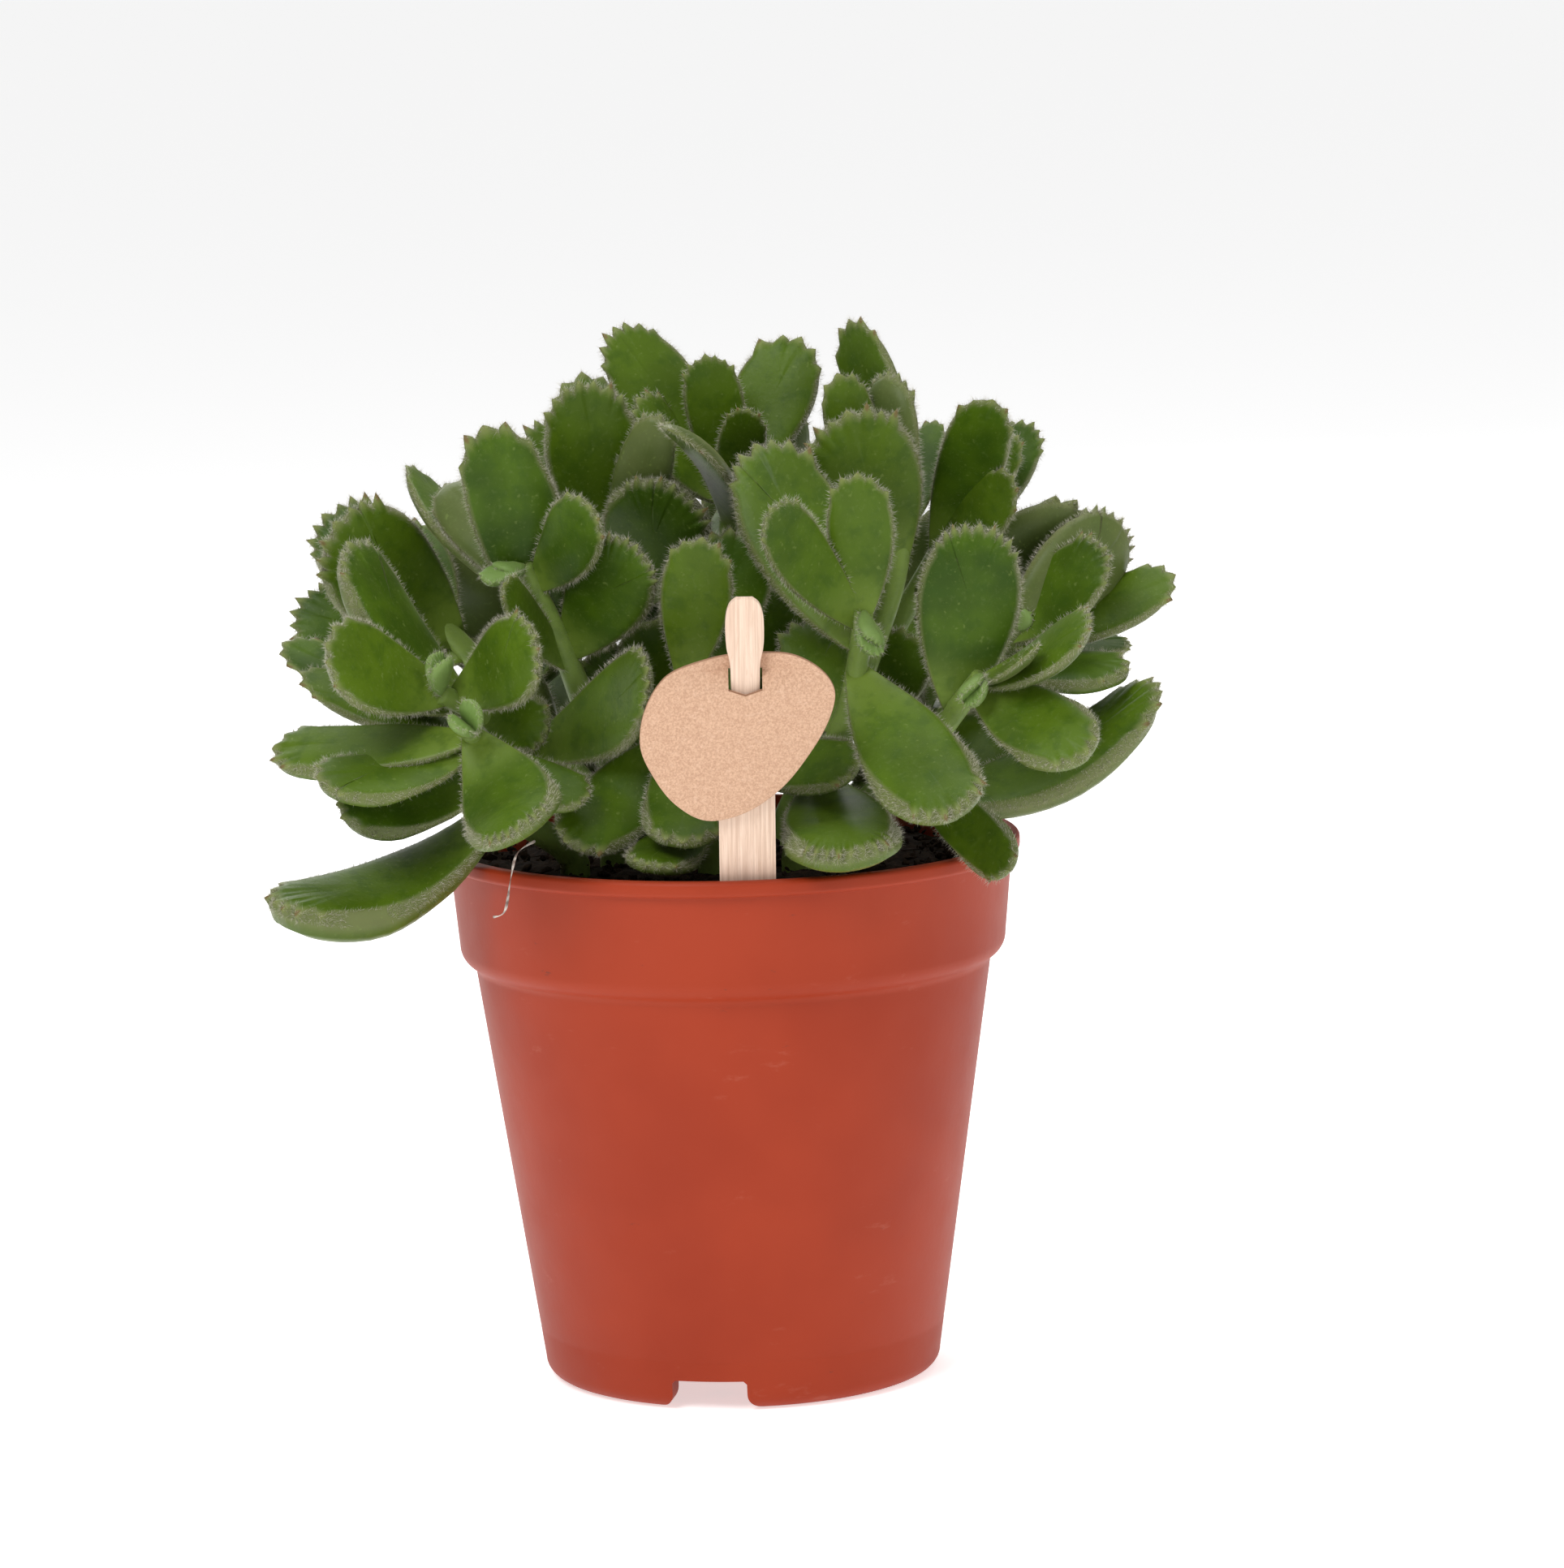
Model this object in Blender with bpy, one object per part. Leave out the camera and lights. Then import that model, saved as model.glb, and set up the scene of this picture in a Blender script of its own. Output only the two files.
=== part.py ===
"""Bear's paw plant (Cotyledon tomentosa) in a round plastic nursery pot, with a wooden label stick.

The origin is the centre of the pot's flat underside. X runs to the right, Y away from the viewer
and Z up. Sizes below are in millimetres, and MM turns them into the metres that the scene uses.
"""

import math
import random
from collections import namedtuple

import bmesh
import bpy
import numpy as np
from mathutils import Matrix, Vector
from mathutils.bvhtree import BVHTree

MM = 0.001

# Clear space round a piece, and between the soil and the pot
GAP = 0.35
SOIL_GAP = 0.55

# Pot: thin moulded plastic, a tapered body under a wide straight collar
POT_HEIGHT = 84.0
LIP_RADIUS = 45.0
LIP_HEIGHT = 2.4
LIP_ROUNDING = 0.7
LIP_TAPER = 0.1
LIP_STEP = 0.3
COLLAR_TOP_RADIUS = 43.7
COLLAR_FOOT_RADIUS = 42.5
COLLAR_HEIGHT = 18.9
COLLAR_CORNER = 3.2
COLLAR_TURN = -72.0
COLLAR_STEP = 0.6
BODY_TOP_RADIUS = 40.0
BASE_RADIUS = 31.0
BASE_CORNER = 2.6
WALL = 1.1
INNER_STEP = 1.0
INNER_TAPER = 0.4
MOUTH_FLARE = 0.5
POT_SIDES = 40
FOOT_WIDTH = 2.2
FOOT_TAPER = 0.4
FLOOR_UNDER = 3.6
FLOOR_TOP = 5.4

# Drain recesses: where the floor steps up behind a notch in the foot
RECESS_WIDTH = 11.6
RECESS_HEIGHT = 4.6
RECESS_DEPTH = 6.0
RECESS_FLARE = 2.4
RECESS_BELOW = 1.0
RECESS_OUTSIDE = 4.0
RECESS_ANGLES = (-10.0, 110.0, 230.0)
DRAIN_RADIUS = 1.9
DRAIN_OUT = 19.0
DRAIN_SIDES = 12

# Soil
SOIL_LEVEL = 80.0
SOIL_MOUND = 1.4
SOIL_LUMP = 0.7
SOIL_SEED = 4
SOIL_SIDES = 30
SOIL_EDGE_DROP = 1.0
SOIL_EDGE_ROUNDING = 1.2
SOIL_RINGS = (0.80, 0.54, 0.26)
SOIL_UNDER_STEP = 2.0
SOIL_OVER_STEP = 3.0
SOIL_TAPER = 0.5
ROOT_DEPTH = 14.0
HOLE_SIDES = 8
HOLE_OVER = 10.0

# Label: a flat wooden stick with a waisted head, through a slit in a kraft card. Heights on it run up
# the stick from the soil, and places across it from its middle
STICK_AT = (2.4, -40.4)
STICK_LEAN = 12.0
STICK_ROLL = 0.6
STICK_WIDTH = 8.4
STICK_THICKNESS = 1.4
STICK_DEPTH = 34.0
POINT_WIDTH = 1.8
POINT_LENGTH = 9.0
SHOULDER = 29.5
SHOULDER_DROP = 3.0
SHOULDER_ROUNDING = 1.2
NECK_WIDTH = 4.3
NECK_ROUNDING = 0.5
HEAD_WIDTH = 5.6
HEAD_START = 39.6
STICK_TOP = 48.4
HEAD_ROUND = ((1.0, 2.6), (0.87, 1.0), (0.55, 0.25))
CARD_THICKNESS = 0.9
SLIT_HEIGHT = 34.4
SLIT_RISE = 2.6
SLIT_DIP = 0.9
CARD_BOW = 3.1
CARD_BEND_FROM = 0.1
CARD_BEND_RISE = 2.4
CARD_BOW_WIDTH = 9.0
CARD_ROWS = (34.5, 35.3, 36.1, 36.9)
CARD_COLUMNS = (-10.0, -6.0, 6.0, 10.0)
CARD_OUTLINE = (
    (2.5, 39.3), (7.3, 39.2), (11.2, 37.2), (13.2, 34.0), (12.2, 29.4), (9.3, 24.2), (5.2, 19.0),
    (-0.2, 15.2), (-6.0, 14.0), (-10.6, 16.6), (-13.8, 21.0), (-15.7, 26.0), (-14.8, 31.8),
    (-11.6, 36.6), (-5.4, 38.6),
)

# Where the viewer stands: places on the plant are given as seen from there
EYE_BACK = 981.0
EYE_UP = 236.0

# Leaf form, as shares of its half width, width or length. Teeth are set out in degrees round the
# blunt end, and their height in millimetres is that of a leaf TYPICAL_WIDTH wide
STALK_SHARE = 0.22
STALK_THINNING = 0.25
WIDEST_AT = 0.61
FULLNESS = 1.75
BLUNTNESS = 2.5
TYPICAL_WIDTH = 12.0
TOOTH_HEIGHT = 0.95
FIRST_TOOTH = 44.0
LAST_TOOTH = 80.0
DIP_PLACE = 0.6
FEW_TEETH = 2
MANY_TEETH = 3
MANY_TEETH_OVER = 13.4
HOLLOW = 0.12
END_THICKNESS = 0.30
END_THINNING = 0.7
EDGE_THICKNESS = 0.25
LEAF_THICKNESS = 0.34
RING_POINTS = 4
RING_FORM = ((1, 0.10), (-1, 0.10), (-0.52, -0.66), (0.52, -0.66))
NARROW_ROWS = (-1.0, -0.62, -0.26)
STEM_SIDES = 6
STEM_STEPS = 6
STEM_RADIUS = (2.3, 1.5)
STEM_STUB = 2.4
BUD_WIDTH = 4.5
BUD_BOW = -0.05
BUD_THICKNESS = 0.5
BUD_UPWARD = 0.3

# A leaf that another stem's leaf would cross is swung aside along the line of sight
SWINGS = (0, 3, -3, 6, -6, 9, -9, 12, -12, 15, -15, 19, -19, 24, -24)

Leaf = namedtuple("Leaf", "at tip width face bow teeth thick")
Shoot = namedtuple("Shoot", "foot path leaves bud")


def seen(u, v, depth):
    """The point on the line of sight through (u, v) of the upright plane through the pot's axis,
    at that depth in front of the plane."""
    share = (EYE_BACK - depth) / EYE_BACK
    return np.array((u * share, -depth, EYE_UP + (v - EYE_UP) * share))


def leaf(at, tip, width, face=(0, 0.3, 1), bow=0.08, thick=LEAF_THICKNESS):
    """A leaf that leaves its stem at a share of the stem's length. Its tip is given as seen, face
    says where the upper side looks (right, up, towards the viewer), and bow how far it curls up."""
    teeth = MANY_TEETH if width > MANY_TEETH_OVER else FEW_TEETH
    return Leaf(at, seen(*tip), width, np.array((face[0], -face[2], face[1]), float), bow, teeth, thick)


def shoot(foot, path, leaves, bud=None):
    """A leafy stem: foot is where it enters the soil (x, y), path the points it then passes through."""
    return Shoot(foot, [seen(*p) for p in path], leaves, bud)


SHOOTS = {
    "shoot_left_low": shoot(
        (-24, -12),
        [(-33, 88, 18), (-37, 97, 27), (-40, 101.5, 34)],
        [
            leaf(0.50, (-73, 76.4, 42), 14, (-0.1, 1, 0.45), 0.18, thick=0.64),
            leaf(0.97, (-33.5, 86.5, 54), 15, (-0.35, 0.7, 0.8), 0.22),
            leaf(0.95, (-72, 100, 24), 12.4, (0.1, 0.8, 0.5), 0.06),
            leaf(0.90, (-65, 95.5, 38), 12, (0.1, 1, 0.6), 0.14),
            leaf(0.67, (-62, 91, 24), 13, (0, 0.9, 0.9), 0.14),
            leaf(0.86, (-20.8, 91, 34), 9, (0, 0.8, 0.6), 0.12),
        ],
        bud=((-39, 106, 40), (-42.5, 102.5, 41)),
    ),
    "shoot_left_mid": shoot(
        (-18, -4),
        [(-30, 96, 14), (-38, 104, 22), (-44.5, 107.5, 28)],
        [
            leaf(0.96, (-61.5, 115.5, 40), 13, (0.25, 0.5, 0.9), 0.10),
            leaf(0.85, (-57.5, 131, 22), 15, (0.55, 0.73, 0.42), 0.10, thick=0.40),
            leaf(0.94, (-29.8, 116, 42), 12.5, (-0.1, 0.4, 1), 0.10),
            leaf(0.84, (-68.6, 116.2, 6), 8, (0, 0.8, 0.7), 0.08),
            leaf(0.70, (-66, 111.5, 14), 9, (0, 0.9, 0.5), 0.08),
            leaf(0.55, (-12.5, 110.5, 38), 13, (-0.2, 0.5, 0.9), 0.14),
            leaf(0.80, (-27.5, 101.5, 26), 9, (0, 0.2, 1), 0.05),
        ],
        bud=((-45.5, 114, 31), (-43.5, 113, 32)),
    ),
    "shoot_left_back": shoot(
        (-16, 8),
        [(-29, 100, -8), (-40, 114, -10), (-46, 121, -9)],
        [
            leaf(0.86, (-59.5, 134, 4), 17.5, (0.2, 0.2, 1), 0.05),
            leaf(0.92, (-61.2, 135.4, -14), 15, (0.2, 0.3, 1), 0.05),
            leaf(0.80, (-66.6, 120.8, -12), 14, (0.2, 0.5, 1), 0.06),
            leaf(0.90, (-50.5, 134.2, -24), 11, (0.1, 0.4, 1), 0.05),
            leaf(0.72, (-52, 112, -34), 13, (-0.2, 1, -0.4), 0.12),
        ],
        bud=((-50, 127, -9), (-48, 128, -11)),
    ),
    "shoot_left_up": shoot(
        (-10, -6),
        [(-20, 100, 10), (-25.5, 115, 14), (-31, 127, 16)],
        [
            leaf(0.64, (-36.3, 148.4, 18), 13, (0.05, 0.1, 1), 0.05),
            leaf(0.93, (-20.5, 136, 30), 10.5, (-0.2, 0.3, 1), 0.08),
            leaf(0.66, (-34, 124.5, 30), 7.5, (0.8, 0.3, 0.6), 0.05),
            leaf(0.70, (-13.5, 129.5, 26), 13.5, (-0.1, 0.2, 1), 0.06),
            leaf(0.88, (-42.5, 140, -2), 10, (-0.5, 0.2, -1), 0.05),
            leaf(0.90, (-47.3, 143, -14), 10, (0.7, 0.6, 0.5), 0.08),
        ],
        bud=((-37, 124.5, 24), (-35, 126.5, 22)),
    ),
    "shoot_mid_left": shoot(
        (-6, 2),
        [(-12, 105, -2), (-15, 122, -4), (-17, 131, -4)],
        [
            leaf(0.90, (-21.5, 154.8, 4), 15, (0.05, 0.1, 1), 0.06),
            leaf(0.97, (-21, 156.4, -16), 12, (0.1, 0.3, 1), 0.05),
            leaf(0.94, (-28.3, 149.2, -10), 12, (0.3, 0.2, 1), 0.05),
            leaf(0.92, (-9, 150, 9), 8.5, (0.3, 0, -1), 0.05),
            leaf(0.78, (-7.5, 138.5, 12), 17.5, (0, 0.3, 1), 0.06),
            leaf(0.35, (-10, 118, 10), 13, (0, 0.2, 1), 0.05),
            leaf(0.30, (-21, 113, 8), 13, (0.1, 0.2, 1), 0.05),
        ],
        bud=((-16.5, 140, -5), (-18, 139, -7)),
    ),
    "shoot_mid_top": shoot(
        (3, 6),
        [(2, 110, -8), (1, 128, -8), (1.5, 139, -8)],
        [
            leaf(0.99, (-15.8, 163.3, -16), 12, (0.1, 0.2, 1), 0.06),
            leaf(0.98, (-2, 159, -4), 9, (0, 0.1, 1), 0.05),
            leaf(0.99, (12.6, 161, -14), 12.5, (-0.3, 0.1, 1), 0.06),
            leaf(0.95, (-12.5, 152.5, 0), 10.5, (0.2, 0.9, 0.7), 0.10),
            leaf(0.86, (-8, 147.5, 20), 9, (-0.5, -0.1, 0.6), 0.08),
            leaf(0.95, (4.5, 150.5, 4), 7, (0, 0.1, 1), 0.04),
            leaf(0.93, (12.5, 150, -18), 10, (0, 0.4, -1), 0.05),
            leaf(0.45, (9.5, 122.5, 2), 12, (0, 0.2, 1), 0.05),
        ],
    ),
    "shoot_mid_front": shoot(
        (-3, -16),
        [(-5, 92, 20), (-6.5, 103, 24), (-6.5, 110, 25)],
        [
            leaf(0.95, (-3.2, 130.5, 32), 11, (-0.15, 0.1, 1), 0.08),
            leaf(0.75, (-7.5, 83.5, 40), 13, (0, 0.8, 0.9), 0.20),
            leaf(0.72, (-26.5, 84, 46), 13, (0.25, 0.8, 0.8), 0.20),
            leaf(0.35, (-13.5, 80.5, 40), 11, (0, 0.9, 0.6), 0.16),
            leaf(0.90, (4, 131, 8), 13, (0, 0.1, 1), 0.05),
            leaf(0.62, (21.5, 95.5, 36), 10, (-0.1, 0.7, 0.8), 0.10),
        ],
    ),
    "shoot_right_front": shoot(
        (10, -14),
        [(14, 93, 22), (19, 104, 28), (21.5, 118.5, 32)],
        [
            leaf(0.97, (21, 140, 36), 10, (-0.1, 0.1, 1), 0.06),
            leaf(0.95, (7.5, 135, 46), 9.5, (0.3, 0.2, 1), 0.10),
            leaf(0.88, (5.5, 144.5, 9), 15.5, (0.2, 0.3, 1), 0.08),
            leaf(0.80, (36.2, 86.8, 51), 15.5, (0.1, 0.5, 1), 0.10),
            leaf(0.55, (13.5, 117.5, 14), 13, (0, 0.2, 1), 0.05),
            leaf(0.36, (18.9, 80.8, 51), 17, (0, 1, 0.6), 0.08, thick=0.40),
        ],
        bud=((23.5, 113.5, 38), (22.5, 111.5, 38)),
    ),
    "shoot_right_top": shoot(
        (12, 0),
        [(20, 106, 2), (26, 122, 2), (28, 132, 1)],
        [
            leaf(0.86, (19.8, 149, 21), 16.5, (0, 0.2, 1), 0.06),
            leaf(0.99, (20.2, 163.6, -8), 11, (-0.75, 0.1, 0.65), 0.06),
            leaf(0.97, (26.2, 155.5, 2), 11, (0.8, 0.2, -0.7), 0.05),
            leaf(0.97, (33.3, 148.3, -17), 6, (0, 0.3, 1), 0.05),
            leaf(0.90, (18.3, 155.5, 5), 9, (0.2, 0.2, 1), 0.05),
        ],
        bud=((26, 140, 0), (28, 141, -2)),
    ),
    "shoot_right_low": shoot(
        (18, -12),
        [(27, 92, 22), (34, 101, 31), (39.5, 108, 36)],
        [
            leaf(0.82, (39.7, 131.2, 34), 14.5, (0.05, 0.1, 1), 0.06),
            leaf(0.97, (56.5, 116.5, 44), 10, (-0.2, 0.9, 0.5), 0.10),
            leaf(0.99, (48, 112.5, 46), 6, (0, 0.9, 0.6), 0.08),
            leaf(0.95, (56.5, 95.5, 50), 13, (0.1, 0.5, 1), 0.06),
            leaf(0.45, (43.6, 77, 43), 8.5, (-0.6, 0.4, 0.6), 0.12),
            leaf(0.34, (66.6, 106.4, 12), 14, (-0.35, 0.9, 0.45), 0.17, thick=0.50),
        ],
        bud=((38.5, 103.5, 42), (36.5, 105.5, 42)),
    ),
    "shoot_right_up": shoot(
        (8, 10),
        [(20, 106, -10), (30, 122, -8), (34, 129, -7)],
        [
            leaf(0.95, (42, 150.8, 6), 10.5, (-0.1, 0.1, 1), 0.06),
            leaf(0.97, (48.3, 147.2, -16), 10, (-0.3, 0.2, 1), 0.05),
            leaf(0.94, (46, 145.5, -6), 7, (-0.5, 0.3, 0.8), 0.05),
            leaf(0.88, (45, 139, 8), 9, (-0.3, 0.3, 1), 0.06),
            leaf(0.80, (56.5, 132.8, -4), 13, (0, 0.6, -1), 0.05),
            leaf(0.35, (30, 114, 8), 12, (0, 0.2, 1), 0.05),
        ],
        bud=((36.5, 136, -7), (35, 137, -9)),
    ),
    "shoot_right_side": shoot(
        (17, 3),
        [(30, 97, 2), (39, 108, 4), (44, 115, 4)],
        [
            leaf(0.97, (59, 127.5, 10), 12, (-0.1, 0.6, 0.8), 0.06),
            leaf(0.90, (61.5, 131.6, -6), 15, (-0.3, 0.4, -1), 0.05),
            leaf(0.95, (69.6, 123.2, 0), 10, (-0.1, 0.8, 0.6), 0.08),
            leaf(0.90, (62, 113.5, -12), 11, (0, 1, 0.2), 0.06),
            leaf(0.86, (63, 108.8, 12), 12.5, (0.1, 1, 0.4), 0.05),
            leaf(0.42, (47, 97.5, 14), 13, (0, 0.5, 1), 0.06),
        ],
        bud=((47, 119, 6), (49, 118, 4)),
    ),
}

# Shoots behind those: a seed, the foot (x, y), the top (x, y), its height over the soil, leaf pairs
BACK_SHOOTS = (
    (11, (-14, 20), (-34, 30), 30, 5),
    (12, (4, 24), (3, 40), 32, 5),
    (13, (18, 20), (36, 29), 30, 5),
    (14, (0, 14), (-8, 20), 54, 4),
)

# How those are made: where the stem bends, which part of it bears leaves, and how the leaves stand
BACK_BEND = (0.55, 0.5)
BACK_LEAVES_FROM = 0.30
BACK_LEAVES_OVER = 0.68
BACK_CLIMB = 18.0
BACK_CLIMB_MORE = 42.0
BACK_CLIMB_SPREAD = (-8, 12)
BACK_OUTWARD = 0.35
BACK_FACE_TILT = 0.5
BACK_LENGTH = (19, 25)
BACK_WIDTH = (11, 15)
BACK_BOW = 0.10
BACK_TEETH = 1

# Each material's name, colour and roughness
PLASTIC = ("pot_plastic", (0.42, 0.065, 0.03), 0.45)
SOIL = ("potting_soil", (0.02, 0.012, 0.008), 1.0)
CARD = ("kraft_card", (0.72, 0.46, 0.30), 0.9)
WOOD = ("pale_wood", (0.90, 0.74, 0.54), 0.7)
GREEN = ("leaf_green", (0.10, 0.19, 0.05), 0.6)
SMOOTH_BELOW = 40.0


def smooth(x):
    x = min(max(x, 0.0), 1.0)
    return x * x * (3 - 2 * x)


def unit(v):
    return v / np.linalg.norm(v)


def between(a, b, c, d, t):
    """The point at a share t of the way from b to c on a smooth curve through a, b, c and d."""
    bent = (2 * a - 5 * b + 4 * c - d) * t * t + (3 * b - a - 3 * c + d) * t**3
    return 0.5 * (2 * b + (c - a) * t + bent)


def stem_line(sh, steps=STEM_STEPS):
    """Points along a shoot's stem, from the bottom of its hole in the soil to its top."""
    foot = np.array((sh.foot[0], sh.foot[1], SOIL_LEVEL))
    corners = [foot - (0, 0, ROOT_DEPTH), foot + (0, 0, STEM_STUB), *sh.path]
    curve = []
    for k in range(1, len(corners) - 1):
        last = corners[min(k + 2, len(corners) - 1)]
        count = steps // (len(corners) - 2)
        curve += [between(*corners[k - 1 : k + 2], last, i / count) for i in range(count)]
    return [corners[0], *curve, corners[-1]]


def along(points, share):
    """The point at a share of the way along the part of the stem that is above the soil."""
    above = points[1:]
    steps = [np.linalg.norm(b - a) for a, b in zip(above, above[1:])]
    left = share * sum(steps)
    for step, a, b in zip(steps, above, above[1:]):
        if left <= step:
            return a + (b - a) * (left / step)
        left -= step
    return above[-1]


def leaf_rings(base, one, stations, form=RING_FORM):
    """Rings of points round a leaf, and its end point. A station is (place, tooth). A place under 0
    is in the narrow part, from -1 at the stalk, and one from 0 to 90 degrees is round the blunt end."""
    length = np.linalg.norm(one.tip - base)
    ahead = (one.tip - base) / length
    up = unit(one.face - ahead * np.dot(one.face, ahead))
    side = np.cross(ahead, up)
    half = one.width / 2
    rings = []
    for place, tooth in stations:
        if place < 0:
            s = WIDEST_AT * (1 + place)
            wide = 1 - (1 - STALK_SHARE) * (-place) ** FULLNESS
            thin = 1 + STALK_THINNING * place
            out = (0.0, 1.0)
        else:
            a = math.radians(place)
            s = WIDEST_AT + (1 - WIDEST_AT) * math.sin(a) ** (2 / BLUNTNESS)
            wide = math.cos(a) ** (2 / BLUNTNESS)
            thin = END_THICKNESS + (1 - END_THICKNESS) * math.cos(a) ** END_THINNING
            out = (math.sin(a), math.cos(a))
        centre = base + ahead * length * s - up * one.bow * length * 4 * s * (1 - s)
        thick = one.width * one.thick * thin * min(1, wide + EDGE_THICKNESS)
        reach = TOOTH_HEIGHT * tooth * one.width / TYPICAL_WIDTH
        ring = []
        for x, z in form:
            p = centre + side * x * wide * half + up * (z * thick + HOLLOW * half * wide * x * x)
            if abs(x) == 1:
                p = p + (ahead * out[0] + side * x * out[1]) * reach
            ring.append(p)
        rings.append(ring)
    return rings, base + ahead * (length + TOOTH_HEIGHT / 2)


def stations_of(teeth):
    """The narrow part, the widest place, then teeth with a dip after each, round the blunt end."""
    rows = [(place, 0) for place in NARROW_ROWS] + [(0, 0)]
    pitch = (LAST_TOOTH - FIRST_TOOTH) / (teeth - 1 + DIP_PLACE)
    for k in range(teeth):
        rows.append((FIRST_TOOTH + pitch * k, 1))
        rows.append((FIRST_TOOTH + pitch * (k + DIP_PLACE), 0))
    return rows


def leaf_shape(base, one):
    rings, peak = leaf_rings(base, one, stations_of(one.teeth))
    points = [p for ring in rings for p in ring] + [peak]
    faces = [tuple(range(RING_POINTS))]
    for r in range(len(rings) - 1):
        for k in range(RING_POINTS):
            a = r * RING_POINTS + k
            b = r * RING_POINTS + (k + 1) % RING_POINTS
            faces.append((a, b, b + RING_POINTS))
            faces.append((a, b + RING_POINTS, a + RING_POINTS))
    top = (len(rings) - 1) * RING_POINTS
    faces += [(top + k, top + (k + 1) % RING_POINTS, len(points) - 1) for k in range(RING_POINTS)]
    return points, faces


def mesh_object(name, points, faces):
    mesh = bpy.data.meshes.new(name)
    mesh.from_pydata([Vector(p) * MM for p in points], [], faces)
    made = bpy.data.objects.new(name, mesh)
    bpy.context.scene.collection.objects.link(made)
    bm = bmesh.new()
    bm.from_mesh(mesh)
    bmesh.ops.recalc_face_normals(bm, faces=bm.faces)
    if bm.calc_volume(signed=True) < 0:
        bmesh.ops.reverse_faces(bm, faces=bm.faces)
    bm.to_mesh(mesh)
    bm.free()
    return made


def tube(line, margin=0.0, sides=STEM_SIDES):
    """Points and faces of a stem along a line, closed at both ends and tapering upwards."""
    points, faces = [], []
    low, high = STEM_RADIUS
    across = unit(np.cross(line[1] - line[0], (0.3, 1, 0)))
    for k, p in enumerate(line):
        ahead = unit(line[min(k + 1, len(line) - 1)] - line[max(k - 1, 0)])
        across = unit(across - ahead * np.dot(across, ahead))
        other = np.cross(ahead, across)
        r = low + (high - low) * k / (len(line) - 1) + margin
        for i in range(sides):
            a = 2 * math.pi * i / sides
            points.append(p + (across * math.cos(a) + other * math.sin(a)) * r)
    for k in range(len(line) - 1):
        for i in range(sides):
            a, b = k * sides + i, k * sides + (i + 1) % sides
            faces.append((a, b, b + sides, a + sides))
    faces.append(tuple(range(sides)))
    faces.append(tuple(range((len(line) - 1) * sides, len(line) * sides)))
    return points, faces


def turned(name, profile, sides=POT_SIDES):
    """A shape turned about the pot's axis from a closed profile of (radius, height) points."""
    points, faces, rows = [], [], []
    for radius, height in profile:
        if radius == 0:
            rows.append([len(points)])
            points.append((0, 0, height))
            continue
        rows.append(range(len(points), len(points) + sides))
        for k in range(sides):
            a = 2 * math.pi * k / sides
            points.append((radius * math.cos(a), radius * math.sin(a), height))
    for row, following in zip(rows, rows[1:] + rows[:1]):
        for k in range(sides):
            corners = [row[k % len(row)], row[(k + 1) % len(row)]]
            corners += [following[(k + 1) % len(following)], following[k % len(following)]]
            corners = list(dict.fromkeys(corners))
            if len(corners) > 2:
                faces.append(corners)
    return mesh_object(name, points, faces)


def slab(name, outline, front, back, shape=lambda p: p):
    """A flat outline of (x, height) points, given a thickness along Y and then bent by shape."""
    count = len(outline)
    points = [shape(np.array((x, y, h))) for y in (front, back) for x, h in outline]
    faces = [tuple(range(count)), tuple(range(count, 2 * count))[::-1]]
    for k in range(count):
        after = (k + 1) % count
        faces.append((k, k + count, after + count, after))
    return mesh_object(name, points, faces)


def combine(target, others, operation, solver="EXACT"):
    """Joins the others to the target, or cuts them from it, and removes them."""
    helpers = bpy.data.collections.new("helpers")
    for other in others:
        helpers.objects.link(other)
    modifier = target.modifiers.new(operation, "BOOLEAN")
    modifier.operation = operation
    modifier.operand_type = "COLLECTION"
    modifier.collection = helpers
    modifier.solver = solver
    graph = bpy.context.evaluated_depsgraph_get()
    result = bpy.data.meshes.new_from_object(target.evaluated_get(graph))
    target.modifiers.clear()
    target.data = result
    drop_scraps(result)
    for other in others:
        bpy.data.objects.remove(other)
    bpy.data.collections.remove(helpers)


def drop_scraps(mesh):
    """Keeps the largest body and drops slivers that a join leaves loose."""
    bm = bmesh.new()
    bm.from_mesh(mesh)
    left = set(bm.faces)
    bodies = []
    while left:
        body = [left.pop()]
        for face in body:
            near = {other for edge in face.edges for other in edge.link_faces} & left
            left -= near
            body += near
        bodies.append(body)
    bodies.sort(key=len)
    scraps = [face for body in bodies[:-1] for face in body]
    bmesh.ops.delete(bm, geom=scraps, context="FACES")
    loose = [corner for corner in bm.verts if not corner.link_faces]
    bmesh.ops.delete(bm, geom=loose, context="VERTS")
    bm.to_mesh(mesh)
    bm.free()


def finish(made, look):
    name, colour, roughness = look
    material = bpy.data.materials.get(name) or bpy.data.materials.new(name)
    material.use_nodes = True
    shader = material.node_tree.nodes["Principled BSDF"]
    shader.inputs["Base Color"].default_value = (*colour, 1)
    shader.inputs["Roughness"].default_value = roughness
    made.data.materials.clear()
    made.data.materials.append(material)
    made.data.shade_smooth()
    made.data.set_sharp_from_angle(angle=math.radians(SMOOTH_BELOW))


def arc(centre, radius, first, last, steps):
    """Points on an arc, by angle in degrees."""
    found = []
    for k in range(steps + 1):
        a = math.radians(first + (last - first) * k / steps)
        found.append((centre[0] + radius * math.cos(a), centre[1] + radius * math.sin(a)))
    return found


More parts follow.
